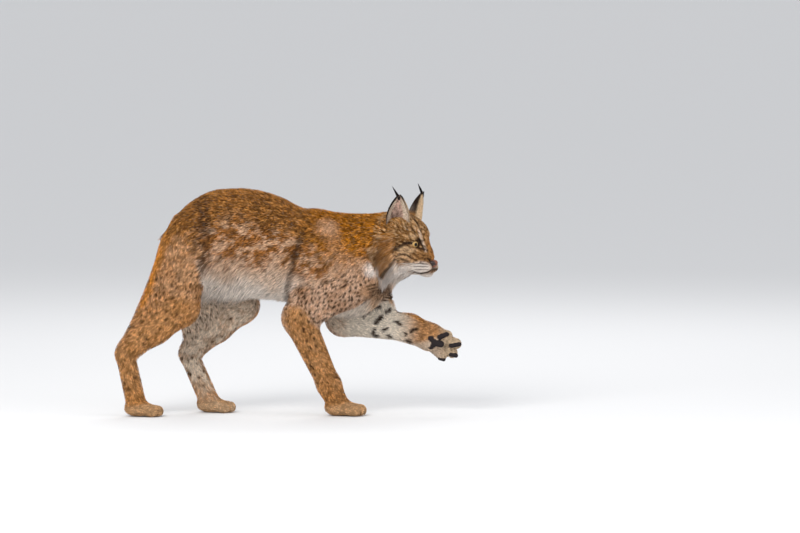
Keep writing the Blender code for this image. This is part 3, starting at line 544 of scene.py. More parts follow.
def coat_of_group(points):
    own_forms, found = distances(points, FORMS)
    nearest = np.min(found, axis=0)
    kinds = np.full((len(COAT), len(points)), FAR)
    lie, total = 0, 0
    for row, form in zip(found, own_forms):
        k = ROW[form.kind]
        kinds[k] = np.minimum(kinds[k], row)
        w = np.exp(-np.clip(row - nearest, 0, 0.2) / 0.006)[:, None]
        lie, total = lie + form.lie * w, total + w
    lie = lie / total
    on_pad = 1 - smoothstep(0.0002, 0.0014, kinds[ROW["pad"]] - nearest)
    weights = np.exp(-np.clip(kinds - nearest, 0, 0.2) / 0.009) * (1 - on_pad)
    weights[ROW["pad"]] = 1e-9
    weights *= (1 - on_pad) / weights.sum(0)
    weights[ROW["pad"]] = on_pad
    sizes = (np.array(list(COAT.values())).T @ weights).T
    rump = smoothstep(-0.29, -0.33, points[:, 0]) * smoothstep(0.40, 0.44, points[:, 2])
    striped = blot(*in_photo(points), 378, 293, 20, 12) * smoothstep(0.12, 0.16, points[:, 0])
    lie = mixed(lie, (np.array((-0.25, 0, -1.0)), rump), (np.array((-1.0, -0.2, 0.12)), striped))
    sizes[:, 1] *= 1 - 0.5 * striped
    sizes[:, 4] *= 1 - 0.6 * np.maximum(rump, striped)

    head = in_head(points)
    on_face = weights[ROW["head"]]
    ruff = ruff_share(head)
    flow = unit(head - (0.078, 0, -0.036))
    flow[:, 2] -= 0.75 * ruff
    flow[:, 1] += 0.20 * ruff * np.sign(head[:, 1])
    lie = mixed(lie, (flow @ HEAD_AXES.T, on_face))
    back = smoothstep(0.030, -0.050, head[:, 0])
    front, added_back, added_ruff = np.array(FACE_SIZES)
    face_sizes = front + added_back * back[:, None] + added_ruff * ruff[:, None]
    sizes += (face_sizes - COAT["head"]) * on_face[:, None]
    return joined(found, own_forms), weights, sizes, lie, head


def settle_skin(points, rounds):
    """Moves points on to the skin, which lies under the coat's surface by its depth."""
    for _ in range(rounds):
        value, _, sizes, _, _ = coat_at(points)
        _, slope = slope_of(points, FORMS)
        move = ((value + sizes[:, 0]) / np.maximum((slope**2).sum(1), 0.1))[:, None] * slope
        far = np.linalg.norm(move, axis=1, keepdims=True)
        points = points - move * np.minimum(1, 0.008 / np.maximum(far, 1e-9))
    return points


# Noise, strokes and colours for the pattern


def hashed(cells, salt):
    n = (cells * np.array((73856093, 19349663, 83492791), dtype=np.int64)).sum(-1) + salt * 2654435761
    n = (n ^ (n >> 13)) * 1274126177 & 0x7FFFFFFF
    n = (n ^ (n >> 11)) * 1103515245 & 0x7FFFFFFF
    return (n % 1000003) / 1000003.0


def noise(points, size, salt=0):
    """Smooth noise from 0 to 1 with features of the given size."""
    q = points / size
    cell = np.floor(q).astype(np.int64)
    t = q - cell
    t = t * t * (3 - 2 * t)
    value = 0
    for corner in np.ndindex(2, 2, 2):
        c = np.array(corner)
        w = np.prod(np.where(c == 1, t, 1 - t), axis=1)
        value = value + w * hashed(cell + c, salt)
    return value


def spots(points, size, radius, salt=0, through=False):
    """1 inside scattered spots, one in each cell of the given size; the same ones right through if asked."""
    flat = (1, 0, 1) if through else (1, 1, 1)
    q = points / size * flat
    cell = np.floor(q).astype(np.int64)
    nearest = np.full(len(points), 9.0)
    for corner in np.ndindex(3, 3, 3):
        if through and corner[1] != 1:
            continue
        c = cell + corner - 1
        place = c + 0.5 + 0.8 * (np.stack([hashed(c, salt + i) for i in range(3)], axis=1) - 0.5)
        gap = np.linalg.norm((q - place) * flat, axis=1)
        nearest = np.minimum(nearest, gap / (0.75 + 0.5 * hashed(c, salt + 7)))
    return 1 - smoothstep(radius * 0.85, radius * 1.15, nearest)


def stroke(x, y, line, width):
    """1 along a line through the given points in the view of the photo, fading at its edge."""
    nearest = np.full(len(x), 99.0)
    for (ax, ay), (bx, by) in zip(line, line[1:]):
        run = np.array((bx - ax, by - ay), float)
        t = np.clip(((x - ax) * run[0] + (y - ay) * run[1]) / (run @ run), 0, 1)
        nearest = np.minimum(nearest, np.hypot(x - ax - t * run[0], y - ay - t * run[1]))
    return 1 - smoothstep(width * 0.5, width * 1.3, nearest)


def strokes(x, y, lines):
    """The strongest of several strokes, each a line and its width."""
    return np.max([stroke(x, y, line, width) for line, width in lines], axis=0)


def blot(x, y, cx, cy, rx, ry):
    """1 inside an ellipse in the view of the photo, fading at its edge."""
    return 1 - smoothstep(0.6, 1.3, np.hypot((x - cx) / rx, (y - cy) / ry))


def srgb(r, g, b):
    c = np.array((r, g, b)) / 255
    return np.where(c <= 0.04045, c / 12.92, ((c + 0.055) / 1.055) ** 2.4)


# Colours of the coat, as they look in the photo
WHITE = srgb(226, 216, 208)
CREAM = srgb(208, 186, 160)
DARK = srgb(46, 32, 24)
BLACK = srgb(28, 24, 24)
FACE_PALE = srgb(196, 168, 138)

PIXEL = 0.002668
VIEW_RISE = math.radians(4)


def in_photo(points):
    """Where points show in the photo's view, in its pixels."""
    x = 300 + points[:, 0] / PIXEL
    y = 415 - (points[:, 2] * math.cos(VIEW_RISE) + points[:, 1] * math.sin(VIEW_RISE)) / PIXEL
    return x, y


def mixed(colour, *layers):
    """A colour under layers laid over it in turn, each another colour and its share at each point."""
    colour = srgb(*colour) if isinstance(colour, tuple) else colour
    for other, share in layers:
        other = srgb(*other) if isinstance(other, tuple) else other
        colour = colour + (other - colour) * share[:, None]
    return colour


# Dark bands of the flank, the orange edge of the thigh and the stripes of the chest in the photo's view
HIP_BAND = ((200, 204), (203, 235), (199, 262), (197, 276))
SHOULDER_BAND = ((301, 236), (293, 262), (286, 290), (287, 312))
THIGH_EDGE = ((176, 196), (164, 225), (150, 265), (138, 300))
CHEST_LINE = ((366, 288, 2), (374, 285.6, 2), (383, 286.4, 2), (389, 289, 1.6))
CHEST_STRIPES = [[(x + step * i, y + 3 * i) for x, y, step in CHEST_LINE] for i in range(6)]


def body_colour(points, normals, weights):
    """Ground colour, mottles and spots of trunk, neck, legs and tail."""
    kind = dict(zip(COAT, weights))
    x, y, z = points.T
    across, down = in_photo(np.stack((x, -np.abs(y), z), axis=1))
    middle, half_height, _ = TRUNK_FORM.section(x)
    height = (z - (middle - half_height)) / (2 * half_height)
    height = np.clip(height + 0.16 * (noise(points, 0.040, 3) - 0.5), 0, 1)
    fine = noise(points, 0.0048, 5)
    patches = 0.62 * noise(points * (0.9, 0.5, 1), 0.0150, 20) + 0.38 * noise(points, 0.0065, 21)

    golden = smoothstep(0.60, 0.78, height)
    golden += 0.7 * smoothstep(-0.02, 0.08, x) * smoothstep(0.40, 0.60, height)
    golden += 0.8 * smoothstep(-0.23, -0.29, x) * smoothstep(0.22, 0.45, height)
    top = mixed(
        (150, 104, 62),
        ((164, 106, 44), smoothstep(-0.02, 0.08, x)),
        ((96, 64, 36), 0.75 * smoothstep(0.56, 0.72, fine)),
        ((186, 140, 92), 0.55 * smoothstep(0.42, 0.30, fine)),
    )
    bib = smoothstep(0.19, 0.25, x) * smoothstep(0.060, 0.035, np.abs(y + 0.02)) * smoothstep(0.44, 0.39, z)
    nape = mixed(
        (168, 110, 48),
        ((196, 146, 96), 0.55 * smoothstep(0.45, 0.6, noise(points, 0.009, 14))),
        ((104, 68, 36), 0.6 * smoothstep(0.58, 0.74, fine)),
        ((214, 184, 156), 0.8 * smoothstep(258, 276, down - 0.25 * (across - 370))),
        (WHITE, bib),
    )
    flecks = smoothstep(0.66, 0.80, noise(points, 0.0052, 6)) * smoothstep(0.2, 0.4, height)
    hip = stroke(across, down, HIP_BAND, 8.5) * smoothstep(0.28, 0.5, noise(points, 0.007, 8))
    colour = mixed(
        (204, 170, 142),
        ((146, 100, 62), smoothstep(0.42, 0.56, patches)),
        ((222, 204, 188), 0.75 * smoothstep(0.44, 0.16, height)),
        ((238, 228, 218), smoothstep(0.20, 0.06, height)),
        (top, np.clip(golden, 0, 1)),
        ((82, 54, 34), 0.45 * flecks),
        ((82, 56, 38), 0.80 * hip),
        (nape, np.clip(kind["neck"] * 1.3, 0, 1)),
    )

    outer = smoothstep(-0.80, -0.15, normals[:, 1] * np.sign(y))
    dots = spots(points, 0.0112, 0.29, 40, True)
    arm = mixed(
        (216, 184, 160),
        ((164, 120, 86), 0.45 * smoothstep(0.44, 0.60, patches)),
        ((176, 128, 82), 0.5 * smoothstep(0.33, 0.45, z)),
        ((228, 216, 204), 1 - outer),
        ((140, 96, 60), 0.6 * blot(across, down, 303, 283, 11, 14)),
        ((54, 36, 26), 0.97 * dots * smoothstep(0.42, 0.36, z) * outer),
    )
    edge = 0.68 * stroke(across, down, THIGH_EDGE, 12)
    specks = spots(points, 0.0135, 0.23, 60, True)
    thigh = mixed(
        (194, 154, 120),
        ((146, 102, 66), 0.5 * smoothstep(0.48, 0.64, patches)),
        ((204, 134, 58), np.maximum(edge, 0.25 * smoothstep(0.34, 0.28, z))),
        ((224, 208, 190), 0.85 * (1 - outer)),
        ((66, 44, 30), 0.9 * specks * smoothstep(0.43, 0.36, z)),
    )
    marks = spots(points * (1, 0.4, 1), 0.0165, 0.24, 80)
    lower = mixed(
        (226, 210, 192),
        ((194, 148, 106), outer),
        ((150, 106, 66), 0.45 * smoothstep(0.44, 0.60, patches)),
        ((184, 132, 82), 0.5 * smoothstep(0.10, 0.03, z)),
        ((206, 178, 146), 0.55 * smoothstep(0.15, 0.95, kind["paw"])),
        ((70, 46, 32), 0.88 * marks * smoothstep(0.04, 0.09, z)),
    )
    legs = np.clip(kind["shank"] + kind["forearm"] + kind["paw"] + kind["pad"], 0, 1)
    fore = smoothstep(-0.12, -0.08, x)
    arms = np.clip(kind["arm"] + legs * fore, 0, 1)
    thighs = np.clip(kind["thigh"] + legs * (1 - fore), 0, 1)
    on_body = kind["neck"] + kind["trunk"] > 0.4
    colour = mixed(
        colour,
        (arm, smoothstep(0.20, 0.60, arms)),
        (thigh, smoothstep(0.20, 0.60, thighs) * smoothstep(0.50, 0.42, z)),
        (lower, smoothstep(0.30, 0.80, legs)),
        ((244, 236, 230), 0.95 * blot(across, down, 370, 271, 10, 8) * smoothstep(0.15, 0.2, x)),
        ((226, 216, 204), 0.75 * blot(across, down, 350, 318, 22, 20) * on_body),
        ((58, 40, 28), 0.65 * stroke(across, down, SHOULDER_BAND, 3.2) * (legs < 0.5)),
    )
    colour = reaching_colour(points, normals, colour, kind)
    across, down = in_photo(points)
    seen = smoothstep(0.45, 0.05, normals[:, 1]) * smoothstep(0.12, 0.16, x)
    chest = blot(across, down, 378, 293, 17, 10) * seen
    stripes = strokes(across, down, [(line, 0.78) for line in CHEST_STRIPES]) * smoothstep(0.1, 0.5, chest)
    return mixed(colour, ((202, 164, 132), 0.85 * chest), ((52, 36, 27), 0.95 * stripes))


# The reaching foreleg: the brown line of its upper edge, and its bars with the half width of each
REACHING_TOP = ((394, 300), (403, 308), (412, 312), (424, 318))
REACHING_BARS = (
    (((372, 311), (377, 309), (380, 307.5)), 1.6),
    (((364, 318), (367, 314), (370, 312)), 1.5),
    (((376.5, 324), (379, 320), (382, 318)), 1.9),
    (((384, 331), (387, 329)), 1.4),
    (((373.5, 334), (375, 330)), 1.3),
    (((386, 313), (391, 311)), 1.4),
    (((396, 311), (402, 312)), 1.2),
    (((412, 332), (417, 330)), 1.6),
    (((408, 341), (411, 342.5)), 1.5),
    (((374, 336), (378, 337)), 1.2),
    (((397, 322), (401, 325)), 1.3),
    (((388, 337), (392, 338)), 1.2),
    (((404, 333), (406, 336)), 1.1),
)


def reaching_colour(points, normals, colour, kind):
    """The reaching foreleg: cream inside with a few long dark spots, orange at the wrist, cream toes."""
    x, y = in_photo(points)
    near = smoothstep(0.3, 0.7, kind["forearm"] + kind["paw"] + kind["pad"] + kind["arm"])
    reach = near * (points[:, 1] > 0.005) * smoothstep(0.105, 0.14, points[:, 0]) * (points[:, 2] > 0.13)
    inner = smoothstep(0.35, -0.25, normals[:, 1])
    edge = smoothstep(345, 333, y + 0.3 * (x - 430))
    bent = x + 3.0 * (noise(points, 0.008, 97) - 0.5), y + 3.0 * (noise(points, 0.008, 98) - 0.5)
    marks = strokes(*bent, [(line, width + 0.45) for line, width in REACHING_BARS])
    ground = mixed(
        (190, 144, 98),
        ((230, 220, 206), inner),
        ((190, 144, 100), 0.8 * stroke(x, y, REACHING_TOP, 5)),
        ((166, 112, 54), 0.85 * smoothstep(394, 424, x) * np.clip(0.45 + edge, 0, 1)),
        (CREAM, smoothstep(436, 450, x)),
        ((44, 30, 24), 0.97 * marks * inner),
        ((60, 42, 32), 0.9 * spots(points, 0.020, 0.27, 90) * (1 - inner) * smoothstep(440, 420, x)),
        ((96, 66, 44), 0.7 * spots(points, 0.0075, 0.22, 92) * smoothstep(434, 442, x)),
    )
    return mixed(colour, (ground, reach))


# Dark lines of the face in the photo's view: the line, its half width and its strength
FACE_LINES = (
    (((411, 243.5), (405, 243.5), (400, 246), (396, 248.5), (391, 251)), 1.9, 0.98),
    (((394, 256.5), (400, 255), (405, 254.5), (411, 259)), 1.0, 0.9),
    (((396, 261), (402, 259.5), (409, 262)), 0.9, 0.8),
    (((413, 264.5), (420, 264), (427, 264.5)), 0.5, 0.8),
    (((413, 267.3), (420, 267), (428, 267.3)), 0.5, 0.8),
    (((415, 270), (421, 270), (428, 270)), 0.45, 0.7),
    (((411, 271), (415, 272.8), (420, 273.8), (427, 273), (432, 270)), 0.8, 0.95),
    (((428, 259), (431, 263), (433, 267)), 1.0, 0.95),
    (((419, 239), (421, 244), (424, 250)), 1.1, 0.95),
    (((416, 247.5), (420, 248.5), (422, 249)), 0.9, 0.9),
    (((410, 224), (413, 230), (415, 235)), 0.9, 0.75),
    (((414, 219), (418, 226), (421, 233)), 0.7, 0.7),
    (((404, 222), (407, 230), (409, 236)), 0.8, 0.6),
    (((398, 232), (395, 240), (394, 246)), 0.9, 0.5),
)


def right_side_view(head):
    """Where points of the head show in the photo, those of its left side as if mirrored to its right."""
    forward, left, up = head.T
    turned = np.stack((forward, -np.abs(left), up), axis=1)
    return in_photo(from_head(turned))


RUFF_WEDGE = ((383, 247), (382, 262), (381.5, 273), (381, 279))
RUFF_LINE = ((391, 263), (387, 270), (383, 275), (380.5, 280))


def ruff_corner(colour, points, head):
    """The brown corner of the ruff with its dark line, over cheek and neck alike."""
    x, y = right_side_view(head)
    near = smoothstep(0.18, 0.20, points[:, 0]) * smoothstep(0.03, 0.045, np.abs(head[:, 1]))
    wedge = stroke(x, y, RUFF_WEDGE, 6.5 - 3.5 * smoothstep(258, 280, y))
    streaks = smoothstep(0.55, 0.75, noise(head * (1, 0.6, 0.35), 0.0040, 95))
    ground = mixed((180, 120, 58), ((104, 68, 36), 0.8 * streaks))
    line = stroke(x, y, RUFF_LINE, 1.8)
    return mixed(colour, (ground, 0.9 * wedge * near), ((40, 28, 22), 0.95 * line * near))


def face_colour(head):
    """The face, painted in the photo's view of its right side and mirrored to its left."""
    x, y = right_side_view(head)
    forward, left, up = head.T
    left = np.abs(left)
    streak = stroke(x, y, ((419, 231), (421.5, 240), (425.5, 251)), 1.7) * smoothstep(0.008, 0.014, left)
    bridge = smoothstep(0.012, 0.007, left) * smoothstep(0.0, 0.02, forward) * smoothstep(-0.052, -0.046, up)
    bands = noise(head * (0.35, 1.4, 0.9), 0.0062, 9)
    crown = smoothstep(0.012, 0.03, up) * smoothstep(0.030, 0.018, left + 0.3 * forward)
    grain = noise(head * (0.6, 1, 1), 0.0030, 12)
    over_lip = smoothstep(268, 262, y)
    pale_grain = smoothstep(0.42, 0.28, grain) * over_lip * smoothstep(0.020, 0.012, forward * 0.6)
    from_eye = (np.abs(head) - np.abs(EYE_PLACE)) * HEAD_SCALE * (0.6, 0.9, 1.35)
    rim = 1 - smoothstep(0.0108, 0.0130, np.linalg.norm(from_eye, axis=1))
    return mixed(
        (150, 112, 76),
        ((158, 108, 58), smoothstep(396, 380, x) * smoothstep(262, 245, y)),
        ((122, 84, 48), 0.7 * blot(x, y, 402, 236, 10, 9)),
        ((160, 116, 70), 0.9 * smoothstep(-0.01, -0.03, forward) * smoothstep(0.04, 0.055, up)),
        (FACE_PALE, 0.75 * blot(x, y, 404, 251, 9, 5)),
        ((200, 164, 132), 0.85 * blot(x, y, 402, 259, 10, 5.5)),
        (WHITE, smoothstep(258, 268, y - 0.25 * (412 - x)) * smoothstep(413, 405, x)),
        ((172, 116, 56), 0.85 * blot(x, y, 383, 252, 9, 18)),
        (WHITE, 0.9 * blot(x, y, 395, 276, 12, 9)),
        (WHITE, 0.95 * blot(x, y, 420, 268, 12, 6)),
        (WHITE, smoothstep(272, 276, y)),
        ((170, 122, 78), 0.9 * bridge),
        ((230, 208, 188), 0.9 * streak),
        (FACE_PALE, 0.8 * blot(x, y, 413, 236.5, 4.5, 1.8)),
        (FACE_PALE, 0.7 * blot(x, y, 412, 250.5, 5, 2)),
        (DARK, 0.6 * smoothstep(0.50, 0.72, bands) * crown),
        (FACE_PALE, 0.35 * smoothstep(0.48, 0.30, bands) * crown),
        ((70, 46, 28), 0.85 * smoothstep(0.56, 0.70, grain) * over_lip),
        ((216, 182, 142), 0.70 * pale_grain),
        *((DARK, share * stroke(x, y, line, width)) for line, width, share in FACE_LINES),
        (DARK, 0.9 * rim),
    )


TAIL_BLACK = 0.395
SATURATION = 0.16


def colour_at(points, normals, weights, head):
    """The colour of skin and coat alike."""
    on_face = smoothstep(0.35, 0.75, weights[ROW["head"]])
    colour = mixed(body_colour(points, normals, weights), (face_colour(head), on_face))
    black_end = smoothstep(TAIL_BLACK + 0.012, TAIL_BLACK - 0.008, points[:, 2])
    tail = mixed((160, 112, 66), (BLACK, black_end))
    colour = mixed(ruff_corner(colour, points, head), (tail, smoothstep(0.4, 0.8, weights[ROW["tail"]])))
    colour = np.clip(colour + SATURATION * (colour - colour.mean(1, keepdims=True)), 0, 1)
    return mixed(colour, ((44, 38, 39), smoothstep(0.45, 0.60, weights[ROW["pad"]])))


# Meshes


def collection(name):
    made = bpy.data.collections.new(name)
    bpy.context.scene.collection.children.link(made)
    return made


HOME = collection("lynx_looks")


def object_from(bm, name, home=HOME):
    mesh = bpy.data.meshes.new(name)
    bm.to_mesh(mesh)
    bm.free()
    obj = bpy.data.objects.new(name, mesh)
    home.objects.link(obj)
    return obj


def baked(obj):
    bpy.context.view_layer.update()
    graph = bpy.context.evaluated_depsgraph_get()
    mesh = bpy.data.meshes.new_from_object(obj.evaluated_get(graph))
    obj.modifiers.clear()
    old, obj.data = obj.data, mesh
    bpy.data.meshes.remove(old)
    return obj


def points_of(mesh):
    points = np.empty(len(mesh.vertices) * 3)
    mesh.vertices.foreach_get("co", points)
    return points.reshape(-1, 3)


def set_points(mesh, points):
    mesh.vertices.foreach_set("co", points.ravel())
    mesh.update()


def paint(mesh, colours):
    layer = mesh.color_attributes.new("coat", "FLOAT_COLOR", "POINT")
    layer.data.foreach_set("color", np.hstack((colours, np.ones((len(colours), 1)))).ravel())


def dress(obj, made):
    obj.data.materials.clear()
    obj.data.materials.append(made)
    obj.data.shade_smooth()


def material(name, colour, roughness, attribute=False, bump=0.0, bump_size=400.0, coat=0.0, specular=0.12):
    made = bpy.data.materials.new(name)
    made.use_nodes = True
    nodes, links = made.node_tree.nodes, made.node_tree.links
    shader = nodes["Principled BSDF"]
    shader.inputs["Base Color"].default_value = (*colour, 1)
    shader.inputs["Roughness"].default_value = roughness
    shader.inputs["Coat Weight"].default_value = coat
    shader.inputs["Specular IOR Level"].default_value = specular
    if attribute:
        source = nodes.new("ShaderNodeAttribute")
        source.attribute_name = "coat"
        links.new(source.outputs["Color"], shader.inputs["Base Color"])
    if bump:
        texture = nodes.new("ShaderNodeTexNoise")
        texture.inputs["Scale"].default_value = bump_size
        texture.inputs["Detail"].default_value = 3
        place = nodes.new("ShaderNodeTexCoord")
        links.new(place.outputs["Object"], texture.inputs["Vector"])
        node = nodes.new("ShaderNodeBump")
        node.inputs["Strength"].default_value = bump
        node.inputs["Distance"].default_value = 0.001
        links.new(texture.outputs["Fac"], node.inputs["Height"])
        links.new(node.outputs["Normal"], shader.inputs["Normal"])
    return made


def ball_mesh(bm, centre, radii, frame, subdivisions=2):
    place = Matrix.Translation(centre) @ Matrix((np.array(frame) * np.array(radii)).tolist()).to_4x4()
    bmesh.ops.create_icosphere(bm, subdivisions=subdivisions, radius=1.0, matrix=place)


def loft(rings, name, home):
    bm = bmesh.new()
    made = [[bm.verts.new(point) for point in ring] for ring in rings]
    count = len(made[0])
    for lower, upper in zip(made, made[1:]):
        for i in range(count):
            j = (i + 1) % count
            bm.faces.new((lower[i], lower[j], upper[j], upper[i]))
    bm.faces.new(made[0][::-1])
    bm.faces.new(made[-1])
    bmesh.ops.recalc_face_normals(bm, faces=bm.faces)
    return object_from(bm, name, home)


def remeshed(name, forms, voxel):
    bm = bmesh.new()
    for form in forms:
        for centre, radii, frame_of in form.balls():
            ball_mesh(bm, centre, radii, frame_of)
    obj = object_from(bm, name)
    remesh = obj.modifiers.new("remesh", "REMESH")
    remesh.mode = "VOXEL"
    remesh.voxel_size = voxel
    return baked(obj)


def eye_axes(side):
    out = head_direction((math.cos(EYE_TURN_OUT), math.sin(EYE_TURN_OUT), 0.02), side)
    along = head_direction((-math.sin(EYE_TURN_OUT), math.cos(EYE_TURN_OUT), math.tan(EYE_SLANT)), side)
    across = np.cross(out, along)
    across /= np.linalg.norm(across)
    return np.array((out, np.cross(across, out), across)).T


def lid_opening(side, home):
    axes = eye_axes(side)
    half_length, half_height = EYE_OPENING[0] / 2, EYE_OPENING[1] / 2
    corners = 28
    rings = []
    for depth, widen in ((0.001, 0.84), (0.030, 1.3)):
        ring = []
        for i in range(corners):
            angle = 2 * math.pi * i / corners
            along = half_length * math.cos(angle)
            across = half_height * math.sin(angle) * abs(math.sin(angle)) ** 0.4
            ring.append(on_head(EYE_PLACE, side) + axes @ np.array((depth, along * widen, across * widen)))
        rings.append(ring)
    return loft(rings, "lid_opening", home)


def refine(obj, chosen):
    """Splits the faces whose corners are all chosen."""
    bm = bmesh.new()
    bm.from_mesh(obj.data)
    bm.verts.ensure_lookup_table()
    edges = [e for e in bm.edges if chosen[e.verts[0].index] and chosen[e.verts[1].index]]
    bmesh.ops.subdivide_edges(bm, edges=edges, cuts=1, use_grid_fill=True)
    bmesh.ops.triangulate(bm, faces=[f for f in bm.faces if len(f.verts) > 4])
    bm.to_mesh(obj.data)
    bm.free()


def make_skin():
    skin = remeshed("skin", FORMS, SKIN_VOXEL)
    set_points(skin.data, settle_skin(points_of(skin.data), 3))
    points = points_of(skin.data)
    _, weights, _, _, head = coat_at(points)
    fine = (weights[ROW["head"]] > 0.5) & (head[:, 0] > -0.045)
    fine |= (weights[ROW["paw"]] + weights[ROW["pad"]] > 0.5) & (points[:, 2] > 0.12)
    refine(skin, fine)
    set_points(skin.data, settle_skin(points_of(skin.data), 2))
    points = points_of(skin.data)
    points[:, 2] = np.maximum(points[:, 2], SKIN_CLEARANCE)
    set_points(skin.data, points)

    cutters = collection("eye_cutters")
    for side in (1, -1):
        bm = bmesh.new()
        ball_mesh(bm, on_head(EYE_PLACE, side), (EYE_RADIUS + 0.0003,) * 3, eye_axes(side), 4)
        object_from(bm, "socket", cutters)
        lid_opening(side, cutters)
    cut = skin.modifiers.new("eyes", "BOOLEAN")
    cut.operation = "DIFFERENCE"
    cut.solver = "MANIFOLD"
    cut.operand_type = "COLLECTION"
    cut.collection = cutters
    baked(skin)
    for obj in list(cutters.objects):
        bpy.data.objects.remove(obj)
    bpy.data.collections.remove(cutters)
    return skin


def ear_frame(side):
    base, tip = on_head(EAR_BASE, side), on_head(EAR_TIP, side)
    up = (tip - base) / np.linalg.norm(tip - base)
    faces = head_direction((math.cos(EAR_FACES), math.sin(EAR_FACES), 0.0), side)
    across = np.cross(up, faces)
    across /= np.linalg.norm(across)
    return base, tip, up, np.cross(across, up), across


def ear_point(side, t, s):
    """A point of the ear's leaf, t from base to tip and s from -1 to 1 round its cup, and the way inward."""
    base, tip, _, faces, across = ear_frame(side)
    t, s = np.atleast_1d(t)[:, None], np.atleast_1d(s)[:, None]
    clipped = np.clip(t, 0, 1)
    widening = (1 - clipped**1.8) ** 0.8 * (0.90 + 0.35 * clipped * (1 - clipped))
    half_width = EAR_HALF_WIDTH * HEAD_SCALE * widening + 0.0010
    roll = np.radians(74 - 26 * clipped)
    radius = half_width / np.sin(roll)
    middle = base + (tip - base) * (t * 1.16 - 0.16)
    angle = roll * s
    offset = across * radius * np.sin(angle) - faces * radius * (np.cos(angle) - 0.5)
    inward = faces * np.cos(angle) - across * np.sin(angle)
    return middle + offset, inward


def border(rows):
    """The rim of a grid of corners, in order round the grid."""
    return [row[0] for row in rows] + rows[-1][1:] + [row[-1] for row in rows[-2::-1]] + rows[0][-2:0:-1]


def make_ear(side, rows=26, columns=25):
    t = np.repeat(np.linspace(0, 1, rows), columns)
    s = np.tile(np.linspace(-1, 1, columns), rows)
    middle, inward = ear_point(side, t, s)
    half = EAR_THICKNESS / 2
    bm = bmesh.new()
    sheets = []
    for offset in (half, -half):
        flat = [bm.verts.new(p) for p in middle + inward * offset]
        sheet = [flat[i * columns : (i + 1) * columns] for i in range(rows)]
        for lower, upper in zip(sheet, sheet[1:]):
            for i in range(columns - 1):
                bm.faces.new((lower[i], lower[i + 1], upper[i + 1], upper[i]))
        sheets.append(border(sheet))
    rim, back = sheets
    for i in range(len(rim)):
        j = (i + 1) % len(rim)
        bm.faces.new((rim[i], rim[j], back[j], back[i]))
    bmesh.ops.recalc_face_normals(bm, faces=bm.faces)
    ear = object_from(bm, "ear_skin")
    inside = np.repeat((1.0, 0.0), len(middle))
    paint(ear.data, ear_colour(np.tile(t, 2), np.tile(s, 2), inside, side, points_of(ear.data)))
    return ear


def ear_colour(t, s, inside, side, points):
    """Pinkish grey and pale within, cream front rim, black rear rim and tip, a grey patch on the back."""
    within = mixed(
        (220, 186, 168),
        ((200, 176, 156), smoothstep(0.55, 0.95, np.abs(s))),
        # Dark grey in the middle of the cup towards its base: painted shade in the deep of the cup.
        ((96, 74, 66), 0.6 * smoothstep(0.7, 0.1, np.abs(s)) * smoothstep(0.6, 0.1, t)),
        ((92, 68, 58), 0.7 * smoothstep(0.52, 0.68, noise(points, 0.0036, 90))),
    )
    behind = mixed(
        DARK,
        ((140, 126, 116), 0.5 * np.exp(-((s / 0.40) ** 2)) * smoothstep(0.60, 0.35, t)),
        ((172, 122, 70), smoothstep(0.34, 0.12, t)),
        ((214, 184, 148), smoothstep(0.50, 0.72, -s * side) * smoothstep(0.97, 0.85, t)),
    )
    return mixed(behind, (within, inside), (BLACK, smoothstep(0.90, 0.98, t)))


# Tufts


def swirl(points, size, salt):
    """Smooth random directions."""
    return np.stack([noise(points, size, salt + i) - 0.5 for i in range(3)], axis=1)


def flattened(lie, out, share=1.0):
    """Directions laid along the surface whose outward direction is given."""
    return unit(lie - out * (lie * out).sum(1, keepdims=True) * share)


def coat_meshes(name, parts):
    """The joined meshes of a coat from its parts, each with the arrays that tuft_mesh reads."""
    arrays = [np.concatenate(columns) for columns in zip(*parts)]
    order = np.argsort(arrays[-1][:, 2], kind="stable")
    groups = np.array_split(order, max(1, math.ceil(len(order) / PIECE_LIMIT)))
    return [tuft_mesh("%s_%d" % (name, i + 1), [a[own] for a in arrays]) for i, own in enumerate(groups)]


TUFT_FACES = np.array(((0, 1, 4, 3), (1, 2, 5, 4), (2, 0, 3, 5)))
TUFT_ENDS = np.array(((0, 2, 1), (3, 4, 6), (4, 5, 6), (5, 3, 6)))


